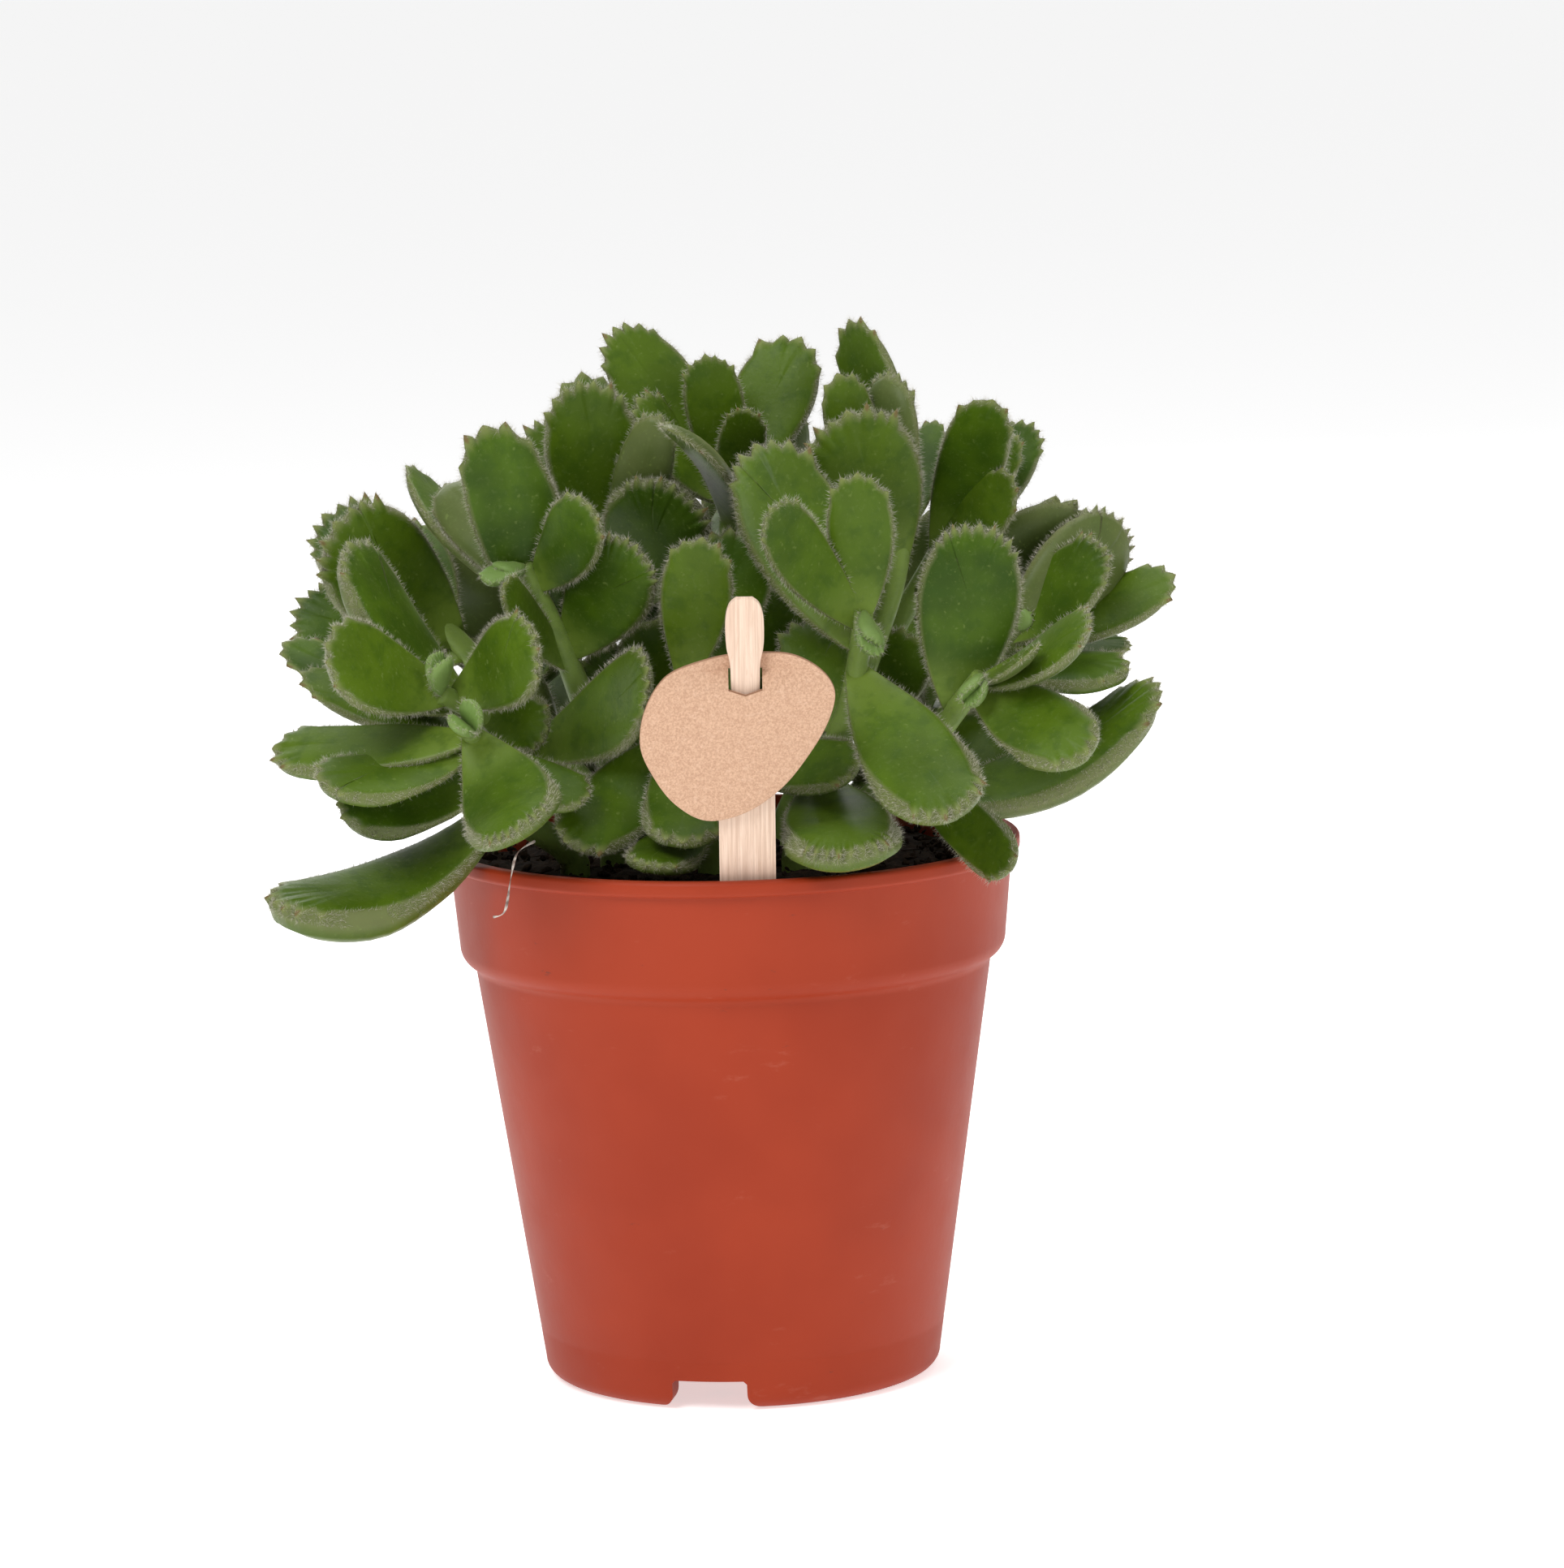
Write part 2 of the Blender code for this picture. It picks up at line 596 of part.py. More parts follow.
def pot_profile():
    """The pot's wall, from the lip down its outside, under its floor, and up its inside."""
    collar_end = POT_HEIGHT - COLLAR_HEIGHT
    corner = (COLLAR_FOOT_RADIUS - COLLAR_CORNER, collar_end + COLLAR_CORNER)
    base = (BASE_RADIUS - BASE_CORNER, BASE_CORNER)
    outside = [
        (LIP_RADIUS - LIP_ROUNDING, POT_HEIGHT),
        (LIP_RADIUS, POT_HEIGHT - LIP_ROUNDING),
        (LIP_RADIUS - LIP_TAPER, POT_HEIGHT - LIP_HEIGHT + LIP_STEP),
        (COLLAR_TOP_RADIUS, POT_HEIGHT - LIP_HEIGHT - LIP_STEP),
        *arc(corner, COLLAR_CORNER, 0, COLLAR_TURN, 3),
        (BODY_TOP_RADIUS, collar_end - COLLAR_STEP),
        *arc(base, BASE_CORNER, 0, -90, 2),
    ]
    inner_ring = BASE_RADIUS - BASE_CORNER - FOOT_WIDTH
    under = [(inner_ring, 0), (inner_ring - FOOT_TAPER, FLOOR_UNDER), (0, FLOOR_UNDER)]
    inside = [
        (0, FLOOR_TOP),
        (BASE_RADIUS - WALL, FLOOR_TOP),
        (BODY_TOP_RADIUS - WALL, collar_end - INNER_STEP),
        (COLLAR_FOOT_RADIUS - WALL - INNER_TAPER, collar_end + INNER_STEP),
        (COLLAR_TOP_RADIUS - WALL, POT_HEIGHT - LIP_HEIGHT),
        (COLLAR_TOP_RADIUS - WALL + MOUTH_FLARE, POT_HEIGHT),
    ]
    return outside + under + inside


def soil_radius(height):
    """How far the soil reaches at a height, just inside the pot's wall."""
    collar_end = POT_HEIGHT - COLLAR_HEIGHT
    if height > collar_end:
        share = (height - collar_end) / COLLAR_HEIGHT
        wall = COLLAR_FOOT_RADIUS + (COLLAR_TOP_RADIUS - COLLAR_FOOT_RADIUS) * share - INNER_TAPER
    else:
        wall = BASE_RADIUS + (BODY_TOP_RADIUS - BASE_RADIUS) * height / collar_end
    return wall - WALL - SOIL_GAP


def make_pot():
    made = turned("pot", pot_profile())
    cutters = []
    half = RECESS_WIDTH / 2
    wide = half + RECESS_FLARE
    outline = [(-wide, -RECESS_BELOW), (-wide, 0)]
    outline += arc((-wide, RECESS_FLARE), RECESS_FLARE, -90, 0, 3)[1:]
    outline += [(-half, RECESS_HEIGHT), (half, RECESS_HEIGHT)]
    outline += arc((wide, RECESS_FLARE), RECESS_FLARE, 180, 270, 3)
    outline += [(wide, -RECESS_BELOW)]
    through = 2 * FLOOR_TOP
    bore = [(DRAIN_RADIUS, 0), (0, 0), (0, through), (DRAIN_RADIUS, through)]
    for angle in RECESS_ANGLES:
        cutter = slab("recess", outline, -BASE_RADIUS - RECESS_OUTSIDE, -BASE_RADIUS + RECESS_DEPTH)
        cutter.rotation_euler.z = math.radians(angle)
        cutters.append(cutter)
        drain = turned("drain", bore, DRAIN_SIDES)
        drain.location = Matrix.Rotation(math.radians(angle), 3, "Z") @ Vector((0, -DRAIN_OUT * MM, 0))
        cutters.append(drain)
    bpy.context.view_layer.update()
    combine(made, cutters, "DIFFERENCE")
    finish(made, PLASTIC)
    return made


def make_soil(feet):
    """The potting soil, with a hole for each stem and for the label stick."""
    rng = random.Random(SOIL_SEED)
    bottom = FLOOR_TOP + SOIL_GAP
    collar_end = POT_HEIGHT - COLLAR_HEIGHT
    under_step = collar_end - SOIL_UNDER_STEP
    over_step = collar_end + SOIL_OVER_STEP
    edge_height = SOIL_LEVEL - SOIL_EDGE_DROP
    edge = soil_radius(edge_height)
    profile = [(edge, edge_height), (edge - SOIL_EDGE_ROUNDING, SOIL_LEVEL)]
    profile += [(edge * share, SOIL_LEVEL) for share in SOIL_RINGS]
    profile += [(0, SOIL_LEVEL), (0, bottom), (soil_radius(bottom) - SOIL_TAPER, bottom)]
    profile += [(soil_radius(under_step), under_step), (soil_radius(over_step) - SOIL_TAPER, over_step)]
    made = turned("soil", profile, SOIL_SIDES)
    for corner in made.data.vertices:
        out = math.hypot(corner.co.x, corner.co.y) / MM
        if corner.co.z > (SOIL_LEVEL + edge_height) / 2 * MM:
            rise = SOIL_MOUND * (1 - (out / edge) ** 2)
            corner.co.z += (rise + rng.uniform(-SOIL_LUMP, SOIL_LUMP)) * MM
    cutters = []
    wide = (STEM_RADIUS[0] + GAP) / math.cos(math.pi / HOLE_SIDES)
    low = SOIL_LEVEL - ROOT_DEPTH - GAP
    high = SOIL_LEVEL + HOLE_OVER
    for foot in feet:
        hole = turned("hole", [(wide, low), (0, low), (0, high), (wide, high)], HOLE_SIDES)
        hole.location = Vector((foot[0], foot[1], 0)) * MM
        cutters.append(hole)
    cutters.append(stick_solid("slot", GAP))
    bpy.context.view_layer.update()
    combine(made, cutters, "DIFFERENCE")
    finish(made, SOIL)
    return made


def on_tag(p):
    """From the label's own frame (x across, y back, height up the stick) to the pot's."""
    x, y, h = p
    lean = math.radians(STICK_LEAN)
    roll = math.radians(STICK_ROLL)
    x, h = x * math.cos(roll) + h * math.sin(roll), h * math.cos(roll) - x * math.sin(roll)
    return np.array(
        (
            STICK_AT[0] + x,
            STICK_AT[1] + y * math.cos(lean) - h * math.sin(lean),
            SOIL_LEVEL + h * math.cos(lean) + y * math.sin(lean),
        )
    )


def stick_outline(margin):
    """Half of the stick's outline from its point up, then the other half down. With a margin it is the
    slot that the soil leaves for the stick, which needs none of the waisted head."""
    half = STICK_WIDTH / 2 + margin
    neck = NECK_WIDTH / 2
    head = HEAD_WIDTH / 2
    point = -STICK_DEPTH - margin
    side = [(POINT_WIDTH / 2, point), (half, point + POINT_LENGTH), (half, SHOULDER - SHOULDER_DROP)]
    if not margin:
        side += [(half - NECK_ROUNDING, SHOULDER - SHOULDER_ROUNDING), (neck + NECK_ROUNDING, SHOULDER)]
        side += [(neck, SHOULDER + SHOULDER_ROUNDING), (neck, HEAD_START - NECK_ROUNDING)]
        side += [(head, HEAD_START + NECK_ROUNDING)]
        side += [(head * share, STICK_TOP - drop) for share, drop in HEAD_ROUND]
    return side + [(-x, h) for x, h in side[::-1]]


def stick_solid(name, margin=0.0):
    thick = STICK_THICKNESS / 2 + margin
    return slab(name, stick_outline(margin), -thick, thick, on_tag)


def smooth_closed(corners, steps):
    """A smooth closed curve through the corners."""
    found = []
    count = len(corners)
    for k in range(count):
        near = [np.array(corners[(k + i) % count], float) for i in (-1, 0, 1, 2)]
        found += [between(*near, i / steps) for i in range(steps)]
    return found


def card_bend(p):
    """The card lies in front of the stick, but its strip above the slit is pushed back behind it."""
    x, y, h = p
    across = math.exp(-((x / CARD_BOW_WIDTH) ** 2))
    back = CARD_BOW * smooth((h - SLIT_HEIGHT - CARD_BEND_FROM) / CARD_BEND_RISE) * across
    front = -(STICK_THICKNESS / 2 + GAP + CARD_THICKNESS / 2)
    return on_tag(np.array((x, front + y + back, h)))


def make_card():
    """The card is cut in rows and columns where it bends, with a slit for the stick's neck."""
    made = slab("tag_card", smooth_closed(CARD_OUTLINE, 4), -CARD_THICKNESS / 2, CARD_THICKNESS / 2)
    half = NECK_WIDTH / 2 + GAP
    slit = [(-half, SLIT_HEIGHT), (0, SLIT_HEIGHT - SLIT_DIP), (half, SLIT_HEIGHT)]
    slit += [(half, SLIT_HEIGHT + SLIT_RISE), (-half, SLIT_HEIGHT + SLIT_RISE)]
    combine(made, [slab("slit", slit, -2 * CARD_THICKNESS, 2 * CARD_THICKNESS)], "DIFFERENCE")
    bm = bmesh.new()
    bm.from_mesh(made.data)
    cuts = [((0, 0, h), (0, 0, 1)) for h in CARD_ROWS]
    cuts += [((x, 0, 0), (1, 0, 0)) for x in CARD_COLUMNS]
    for place, normal in cuts:
        parts = bm.verts[:] + bm.edges[:] + bm.faces[:]
        bmesh.ops.bisect_plane(bm, geom=parts, plane_co=Vector(place) * MM, plane_no=normal)
    bmesh.ops.triangulate(bm, faces=bm.faces)
    for corner in bm.verts:
        corner.co = Vector(card_bend(np.array(corner.co) / MM)) * MM
    bm.to_mesh(made.data)
    bm.free()
    finish(made, CARD)
    return made


def make_stick():
    made = stick_solid("tag_stick")
    finish(made, WOOD)
    return made


def tree_of(made):
    points = [made.matrix_world @ corner.co / MM for corner in made.data.vertices]
    return BVHTree.FromPolygons(points, [tuple(face.vertices) for face in made.data.polygons])


def leaf_tree(base, one):
    """The leaf's surface pushed out by the gap, for telling whether it has room."""
    points, faces = leaf_shape(base, one)
    rings = np.array(points[:-1]).reshape(-1, RING_POINTS, 3)
    centres = [*np.repeat(rings.mean(axis=1), RING_POINTS, axis=0), (base + one.tip) / 2]
    wider = [Vector(p + unit(p - centre) * GAP) for p, centre in zip(points, centres)]
    return BVHTree.FromPolygons(wider, faces)


def swung(one, step):
    """The leaf with its tip moved along the line of sight, towards the viewer where step is over 0."""
    eye = np.array((0.0, -EYE_BACK, EYE_UP))
    return one._replace(tip=one.tip + unit(eye - one.tip) * step)


def grown(seed, foot, top, height, pairs):
    """A shoot that stands behind those seen from the front: leaf pairs, each across the one below."""
    rng = random.Random(seed)
    lean = np.array((top[0] - foot[0], top[1] - foot[1], 0.0))
    start = np.array((foot[0], foot[1], SOIL_LEVEL))
    path = [start + lean * BACK_BEND[0] + (0, 0, height * BACK_BEND[1]), start + lean + (0, 0, height)]
    made = Shoot(foot, path, [], None)
    line = stem_line(made)
    turn = rng.uniform(0, math.pi)
    for pair in range(pairs):
        at = BACK_LEAVES_FROM + BACK_LEAVES_OVER * pair / (pairs - 1)
        base = along(line, at)
        for half in (0, math.pi):
            a = turn + pair * math.pi / 2 + half
            climb = BACK_CLIMB + BACK_CLIMB_MORE * pair / pairs + rng.uniform(*BACK_CLIMB_SPREAD)
            climb = math.radians(climb)
            flat = np.array((math.cos(a), math.sin(a), 0.0))
            away = unit(flat * math.cos(climb) + (0, 0, math.sin(climb)) + unit(lean) * BACK_OUTWARD)
            face = np.array((0, 0, 1.0)) - flat * BACK_FACE_TILT
            tip = base + away * rng.uniform(*BACK_LENGTH)
            width = rng.uniform(*BACK_WIDTH)
            made.leaves.append(Leaf(at, tip, width, face, BACK_BOW, BACK_TEETH, LEAF_THICKNESS))
    return made


def settle(shoots, fixed):
    """Finds for each leaf the least swing that keeps it clear of the pot, the label and other stems.
    Gives each stem's line, and each shoot's leaves with the points that they start from."""
    lines = {name: stem_line(sh) for name, sh in shoots.items()}
    stems = {name: stem_tree(line) for name, line in lines.items()}
    placed = {name: [] for name in shoots}
    settled = {name: [] for name in shoots}
    for name, sh in shoots.items():
        others = fixed + [tree for key, tree in stems.items() if key != name]
        others += [tree for key in shoots if key != name for tree in placed[key]]
        for one in sh.leaves:
            base = along(lines[name], one.at)
            for step in SWINGS:
                tried = swung(one, step)
                tree = leaf_tree(base, tried)
                if not any(tree.overlap(other) for other in others):
                    settled[name].append((base, tried))
                    placed[name].append(tree)
                    break
    return lines, settled


def stem_tree(line):
    points, faces = tube(line, GAP)
    return BVHTree.FromPolygons([Vector(p) for p in points], faces)


def bud_leaves(line, bud):
    """The smallest leaves at a stem's tip, folded face to face."""
    tips = [seen(*place) for place in bud]
    middle = np.mean(tips, axis=0)
    found = []
    for tip in tips:
        face = middle - tip + (0, 0, BUD_UPWARD)
        found.append((line[-1], Leaf(1, tip, BUD_WIDTH, face, BUD_BOW, FEW_TEETH, BUD_THICKNESS)))
    return found


def make_shoot(name, sh, line, leaves):
    made = mesh_object(name, *tube(line))
    if sh.bud:
        leaves = leaves + bud_leaves(line, sh.bud)
    pieces = [mesh_object("leaf", *leaf_shape(base, one)) for base, one in leaves]
    combine(made, pieces, "UNION", "MANIFOLD")
    finish(made, GREEN)


def main():
    for old in list(bpy.data.objects):
        bpy.data.objects.remove(old)
    shoots = dict(SHOOTS)
    for k, plan in enumerate(BACK_SHOOTS):
        shoots[f"shoot_back_{k + 1}"] = grown(*plan)
    pot = make_pot()
    soil = make_soil([sh.foot for sh in shoots.values()])
    fixed = [tree_of(made) for made in (pot, soil, make_stick(), make_card())]
    lines, settled = settle(shoots, fixed)
    for name, sh in shoots.items():
        make_shoot(name, sh, lines[name], settled[name])


main()
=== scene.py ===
"""Looks of a bear's paw plant (Cotyledon tomentosa) in its nursery pot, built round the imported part.

Sizes below are in millimetres, and MM turns them into metres. X runs to the right, Y away from the
viewer and Z up, and the origin is the centre of the pot's flat underside.
"""

import math
import random
from collections import namedtuple

import bmesh
import bpy
import numpy as np
from mathutils import Matrix, Vector
from mathutils.kdtree import KDTree


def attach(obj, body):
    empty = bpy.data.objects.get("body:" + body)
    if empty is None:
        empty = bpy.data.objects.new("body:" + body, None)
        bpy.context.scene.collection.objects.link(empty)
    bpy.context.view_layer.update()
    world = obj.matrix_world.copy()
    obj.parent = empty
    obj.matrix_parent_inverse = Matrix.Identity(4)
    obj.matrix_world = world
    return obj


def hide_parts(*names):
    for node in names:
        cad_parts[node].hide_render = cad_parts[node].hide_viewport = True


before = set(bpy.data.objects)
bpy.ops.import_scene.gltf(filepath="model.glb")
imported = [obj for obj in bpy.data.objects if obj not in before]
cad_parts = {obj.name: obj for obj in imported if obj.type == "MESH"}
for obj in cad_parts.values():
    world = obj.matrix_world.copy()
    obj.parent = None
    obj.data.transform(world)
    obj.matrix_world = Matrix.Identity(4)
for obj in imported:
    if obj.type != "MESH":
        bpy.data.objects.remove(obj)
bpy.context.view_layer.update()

MM = 0.001

# Pot
POT_HEIGHT = 84.0
LIP_RADIUS = 45.0
LIP_HEIGHT = 2.4
LIP_ROUNDING = 0.7
LIP_TURN = -75.0
LIP_STEPS = 5
LIP_TUCK = ((0.12, 0.1), (0.0, 0.5))
COLLAR_TOP_RADIUS = 43.7
COLLAR_FOOT_RADIUS = 42.5
COLLAR_HEIGHT = 18.9
COLLAR_CORNER = 3.2
COLLAR_TURN = -64.0
BODY_TOP_RADIUS = 40.0
FILLET = 1.6
FILLET_SHARES = (0.25, 0.5, 0.75, 1.0)
FILLET_SPREAD = 3
BASE_RADIUS = 31.0
BASE_CORNER = 2.6
WALL = 1.1
POT_SIDES = 144
FOOT_WIDTH = 2.2
FLOOR_UNDER = 3.6
FLOOR_TOP = 5.4
FLOOR_SLOPE = 0.4
INSIDE_FOLD = 1.0
INSIDE_STEP = 0.4
INSIDE_FLARE = 0.7
COLLAR_STEPS = 9
BASE_STEPS = 7
RECESS_STEPS = 8
POT_SHARP = 38.0
SEAM_HEIGHT = 7.6
SEAM_DEPTH = 0.10
SEAM_HALF = 0.4
RECESS_WIDTH = 11.6
RECESS_HEIGHT = 4.6
RECESS_DEPTH = 6.0
RECESS_FLARE = 2.4
RECESS_CHAMFER = 0.5
RECESS_BELOW = 1.0
RECESS_OUTSIDE = 4.0
RECESS_ANGLES = (-10.0, 110.0, 230.0)
DRAIN_RADIUS = 1.9
DRAIN_OUT = 19.0
DRAIN_SIDES = 32

# Soil: a lumpy surface with crumbs and fibres strewn over it
SOIL_LEVEL = 80.0
SOIL_MOUND = 1.2
SOIL_EDGE = 41.4
SOIL_RINGS = 46
SOIL_SIDES = 110
SOIL_ROUGH = ((0.48, 0.55 / 3), (1.65, 0.28 / 3), (4.5, 0.14 / 3))
CRUMBS = 900
CRUMB_SIZE = (0.35, 1.25)
CRUMB_JITTER = 0.22
CRUMB_WIDTH = (0.6, 1.2)
CRUMB_FLAT = (0.4, 0.8)
CRUMB_RISE = (-0.3, 0.5)
CRUMB_SPREAD = 2.5
CRUMBS_INSIDE = 1.0
SOIL_SEED = 21
SOIL_SPREAD = 0.8
SOIL_DIP = 0.6
SOIL_DIP_SPREAD = 12
SOIL_WALL = ((COLLAR_FOOT_RADIUS - WALL - 1.2, POT_HEIGHT - COLLAR_HEIGHT + 4), (38, 62), (29, 6.0))
SOIL_WAVES = 7
SOIL_SHARP = 50.0
SOIL_FIBRES = 90
SOIL_FIBRE_STEPS = 5
SOIL_FIBRE_STEP = 1.1
SOIL_FIBRE_BENDS = (0.5, 0.25)
SOIL_FIBRE_RADIUS = (0.07, 0.16)
SOIL_FIBRE_SIDES = 5
SOIL_FIBRES_INSIDE = (4, 0.5)
ROOT_DEPTH = 14.0

# About a whole turn in radians, for the draws of directions
AROUND = 6.3

# Label stick and card
STICK_AT = (2.4, -40.4)
STICK_LEAN = 12.0
STICK_ROLL = 0.6
STICK_THICKNESS = 1.4
STICK_EDGE = (
    (4.2, -25), (4.2, -6), (4.2, 12), (4.2, 26.2), (4.05, 27.9), (3.2, 29.3), (2.4, 30.6), (2.15, 32.6),
    (2.15, 36), (2.25, 38.4), (2.7, 40.6), (2.85, 43), (2.75, 45.5), (2.2, 47.3), (1.2, 48.2),
)
STICK_POINT = (0.9, -34.0)
STICK_BEVEL = 0.22
STICK_STEPS = 5
BEVEL_STEPS = 2
BEVEL_FROM = 50.0
TAG_SHARP = 40.0
NECK_WIDTH = 4.3
CARD_THICKNESS = 0.9
CARD_BEVEL = 0.16
SLIT_HEIGHT = 34.4
SLIT_RISE = 2.6
SLIT_DIP = 0.9
CARD_BOW = 3.1
CARD_BEND_FROM = 0.1
CARD_BEND_RISE = 2.4
CARD_BOW_WIDTH = 9.0
CARD_GAP = 0.35
CARD_GRID = 1.2
CARD_STEPS = 9
CARD_LOW = 14.0
CARD_LEFT = -16.0
CARD_HIGH = 40.0
CARD_OUTLINE = (
    (2.5, 39.3), (7.3, 39.2), (11.2, 37.2), (13.2, 34.0), (12.2, 29.4), (9.3, 24.2), (5.2, 19.0),
    (-0.2, 15.2), (-6.0, 14.0), (-10.6, 16.6), (-13.8, 21.0), (-15.7, 26.0), (-14.8, 31.8),
    (-11.6, 36.6), (-5.4, 38.6),
)

# A dry fibre that hangs over the rim, as seen
FIBRE = ((-30.5, 84, 34), (-33.2, 82.2, 38), (-34.3, 78.5, 37), (-35.4, 73.2, 36.4), (-37.2, 72.2, 35.4))
FIBRE_RADIUS = 0.17
FIBRE_STEPS = 8
FIBRE_SIDES = 8
FIBRE_UNEVEN = 0.45
FIBRE_LEAST = 0.05
FIBRE_WAVE = 0.6

# Where the viewer stands: places on the plant are given as seen from there
EYE_BACK = 981.0
EYE_UP = 236.0
CAMERA_LENS = 146.46
CAMERA_SENSOR = 36.0
CAMERA_NEAR = 0.01
CAMERA_YAW = 0.48
CAMERA_PITCH = 8.35
CAMERA_ROLL = 1.39

# Stage: the lights' names, places and sizes in metres, and powers in watts
FLOOR_SIZE = 40
FLOOR_BELOW = -0.0002
FLOOR_GLOW = 0.56
WORLD_STRENGTH = 0.38
LAMPS = (
    ("key", (-0.45, -0.75, 0.95), 0.5, 7.5),
    ("fill", (0.7, -0.6, 0.6), 0.7, 2.2),
    ("top", (0.1, 0.15, 1.1), 0.7, 4.5),
    ("back", (-0.3, 0.9, 0.7), 0.7, 4.0),
)
LAMPS_AIM = (0, 0, 0.09)

# Leaf form: lengths, shares of a leaf's width, half width or length, and degrees round its blunt end
STALK_SHARE = 0.22
STALK_THINNING = 0.25
WIDEST_AT = 0.61
FULLNESS = 1.75
BLUNTNESS = (2.0, 2.5)
TYPICAL_WIDTH = 12.0
TIP_RISE = 0.475
TOOTH_HEIGHT = 1.35
FIRST_TOOTH = 42.0
FEW_TEETH = 2
MANY_TEETH = 3
MORE_TEETH = 0.3
MANY_TEETH_OVER = 13.4
TOOTH_STEPS = (-1.0, -0.6, -0.25, 0.0, 0.3, 0.65)
TOOTH_UNEVEN = 0.42
TOOTH_ASIDE = 0.14
TOOTH_FORWARD = 0.5
TOOTH_ROOT = 0.80
TOOTH_ROOT_UNDER = 0.98
APEX_SHORTER = 0.75
NARROW_STEPS = 10
BARE_STEPS = 3
TOP_LAYERS = (0.0, 0.4, 0.7, 0.88, 0.965, 1.0)
LOWER_LAYERS = (0.98, 0.9, 0.74, 0.45, 0.0)
LEAF_THICKNESS = 0.34
MARGIN_HEIGHT = 0.10
LEAF_DEPTH = 0.76
DEPTH_SPREAD = 2.6
DEPTH_ROUND = 0.5
EDGE_THICKNESS = 0.25
HOLLOW = 0.12
PILLOW = 0.055
PILLOW_SPREAD = 3.5
PUFF = 0.10
PUFF_MORE = 0.35
HANGING_PUFF = 0.15
HANGING_INSET = 0.14
INSET_FROM = 0.35
INSET_OVER = 0.35
TWIST = 6.0
WAVE = 0.03
WAVE_TURNS = 9
WAVE_APART = 1.3
UNEVEN = 0.05
STEM_RADIUS = (2.3, 1.5)
STEM_STEPS = 6
STEM_FINE_STEPS = 36
STEM_SIDES = 16
STEM_STUB = 2.4
STEM_TINT = (0.5, 0.3, 0.0, 1.0)
BUD_WIDTH = 4.5
BUD_BOW = -0.05
BUD_THICKNESS = 0.5
BUD_UPWARD = 0.3

# A leaf that faces the viewer at least so much (-Y), and ends no more than so high over its start,
# shows its full lower side beyond its teeth
TOWARDS = -0.3
LEVEL = 2.0

# Down: short hairs all over, longer and thicker along the leaves' margins and on the stems
FACE_HAIRS = 0.9
RIM_HAIRS = 12.0
RIM_FROM = 0.90
FACE_HAIR = (0.34, 0.014)
RIM_HAIR = (0.90, 0.023)
HAIR_UNEVEN = 0.35
HAIR_LEAN = 0.38
STEM_OUT = 0.93
ROOM = 0.3

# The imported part's leaves were swung aside along the line of sight by one of these
SWINGS = (0, 3, -3, 6, -6, 9, -9, 12, -12, 15, -15, 19, -19, 24, -24)

# A direction that no stem starts along, a length over zero, and the digits in which welded points agree
ASIDE = (0.3, 1, 0)
TINY = 1e-9
WELD_DIGITS = 4

Leaf = namedtuple("Leaf", "at tip width face bow teeth thick")
Shoot = namedtuple("Shoot", "foot path leaves bud")


def seen(u, v, depth):
    """The point on the line of sight through (u, v) of the upright plane through the pot's axis,
    at that depth in front of the plane."""
    share = (EYE_BACK - depth) / EYE_BACK
    return np.array((u * share, -depth, EYE_UP + (v - EYE_UP) * share))


def leaf(at, tip, width, face, bow=0.05, thick=LEAF_THICKNESS):
    """A leaf that leaves its stem at a share of the stem's length. Its tip is given as seen, face
    says where the upper side looks (right, up, towards the viewer), and bow how far it curls up."""
    teeth = MANY_TEETH if width > MANY_TEETH_OVER else FEW_TEETH
    return Leaf(at, seen(*tip), width, np.array((face[0], -face[2], face[1]), float), bow, teeth, thick)


def shoot(foot, path, bud, *leaves):
    """A leafy stem: foot is where it enters the soil (x, y), path the points it then passes through,
    and bud the end points of the two leaves folded at its tip, where it has them."""
    return Shoot(foot, [seen(*p) for p in path], leaves, bud)


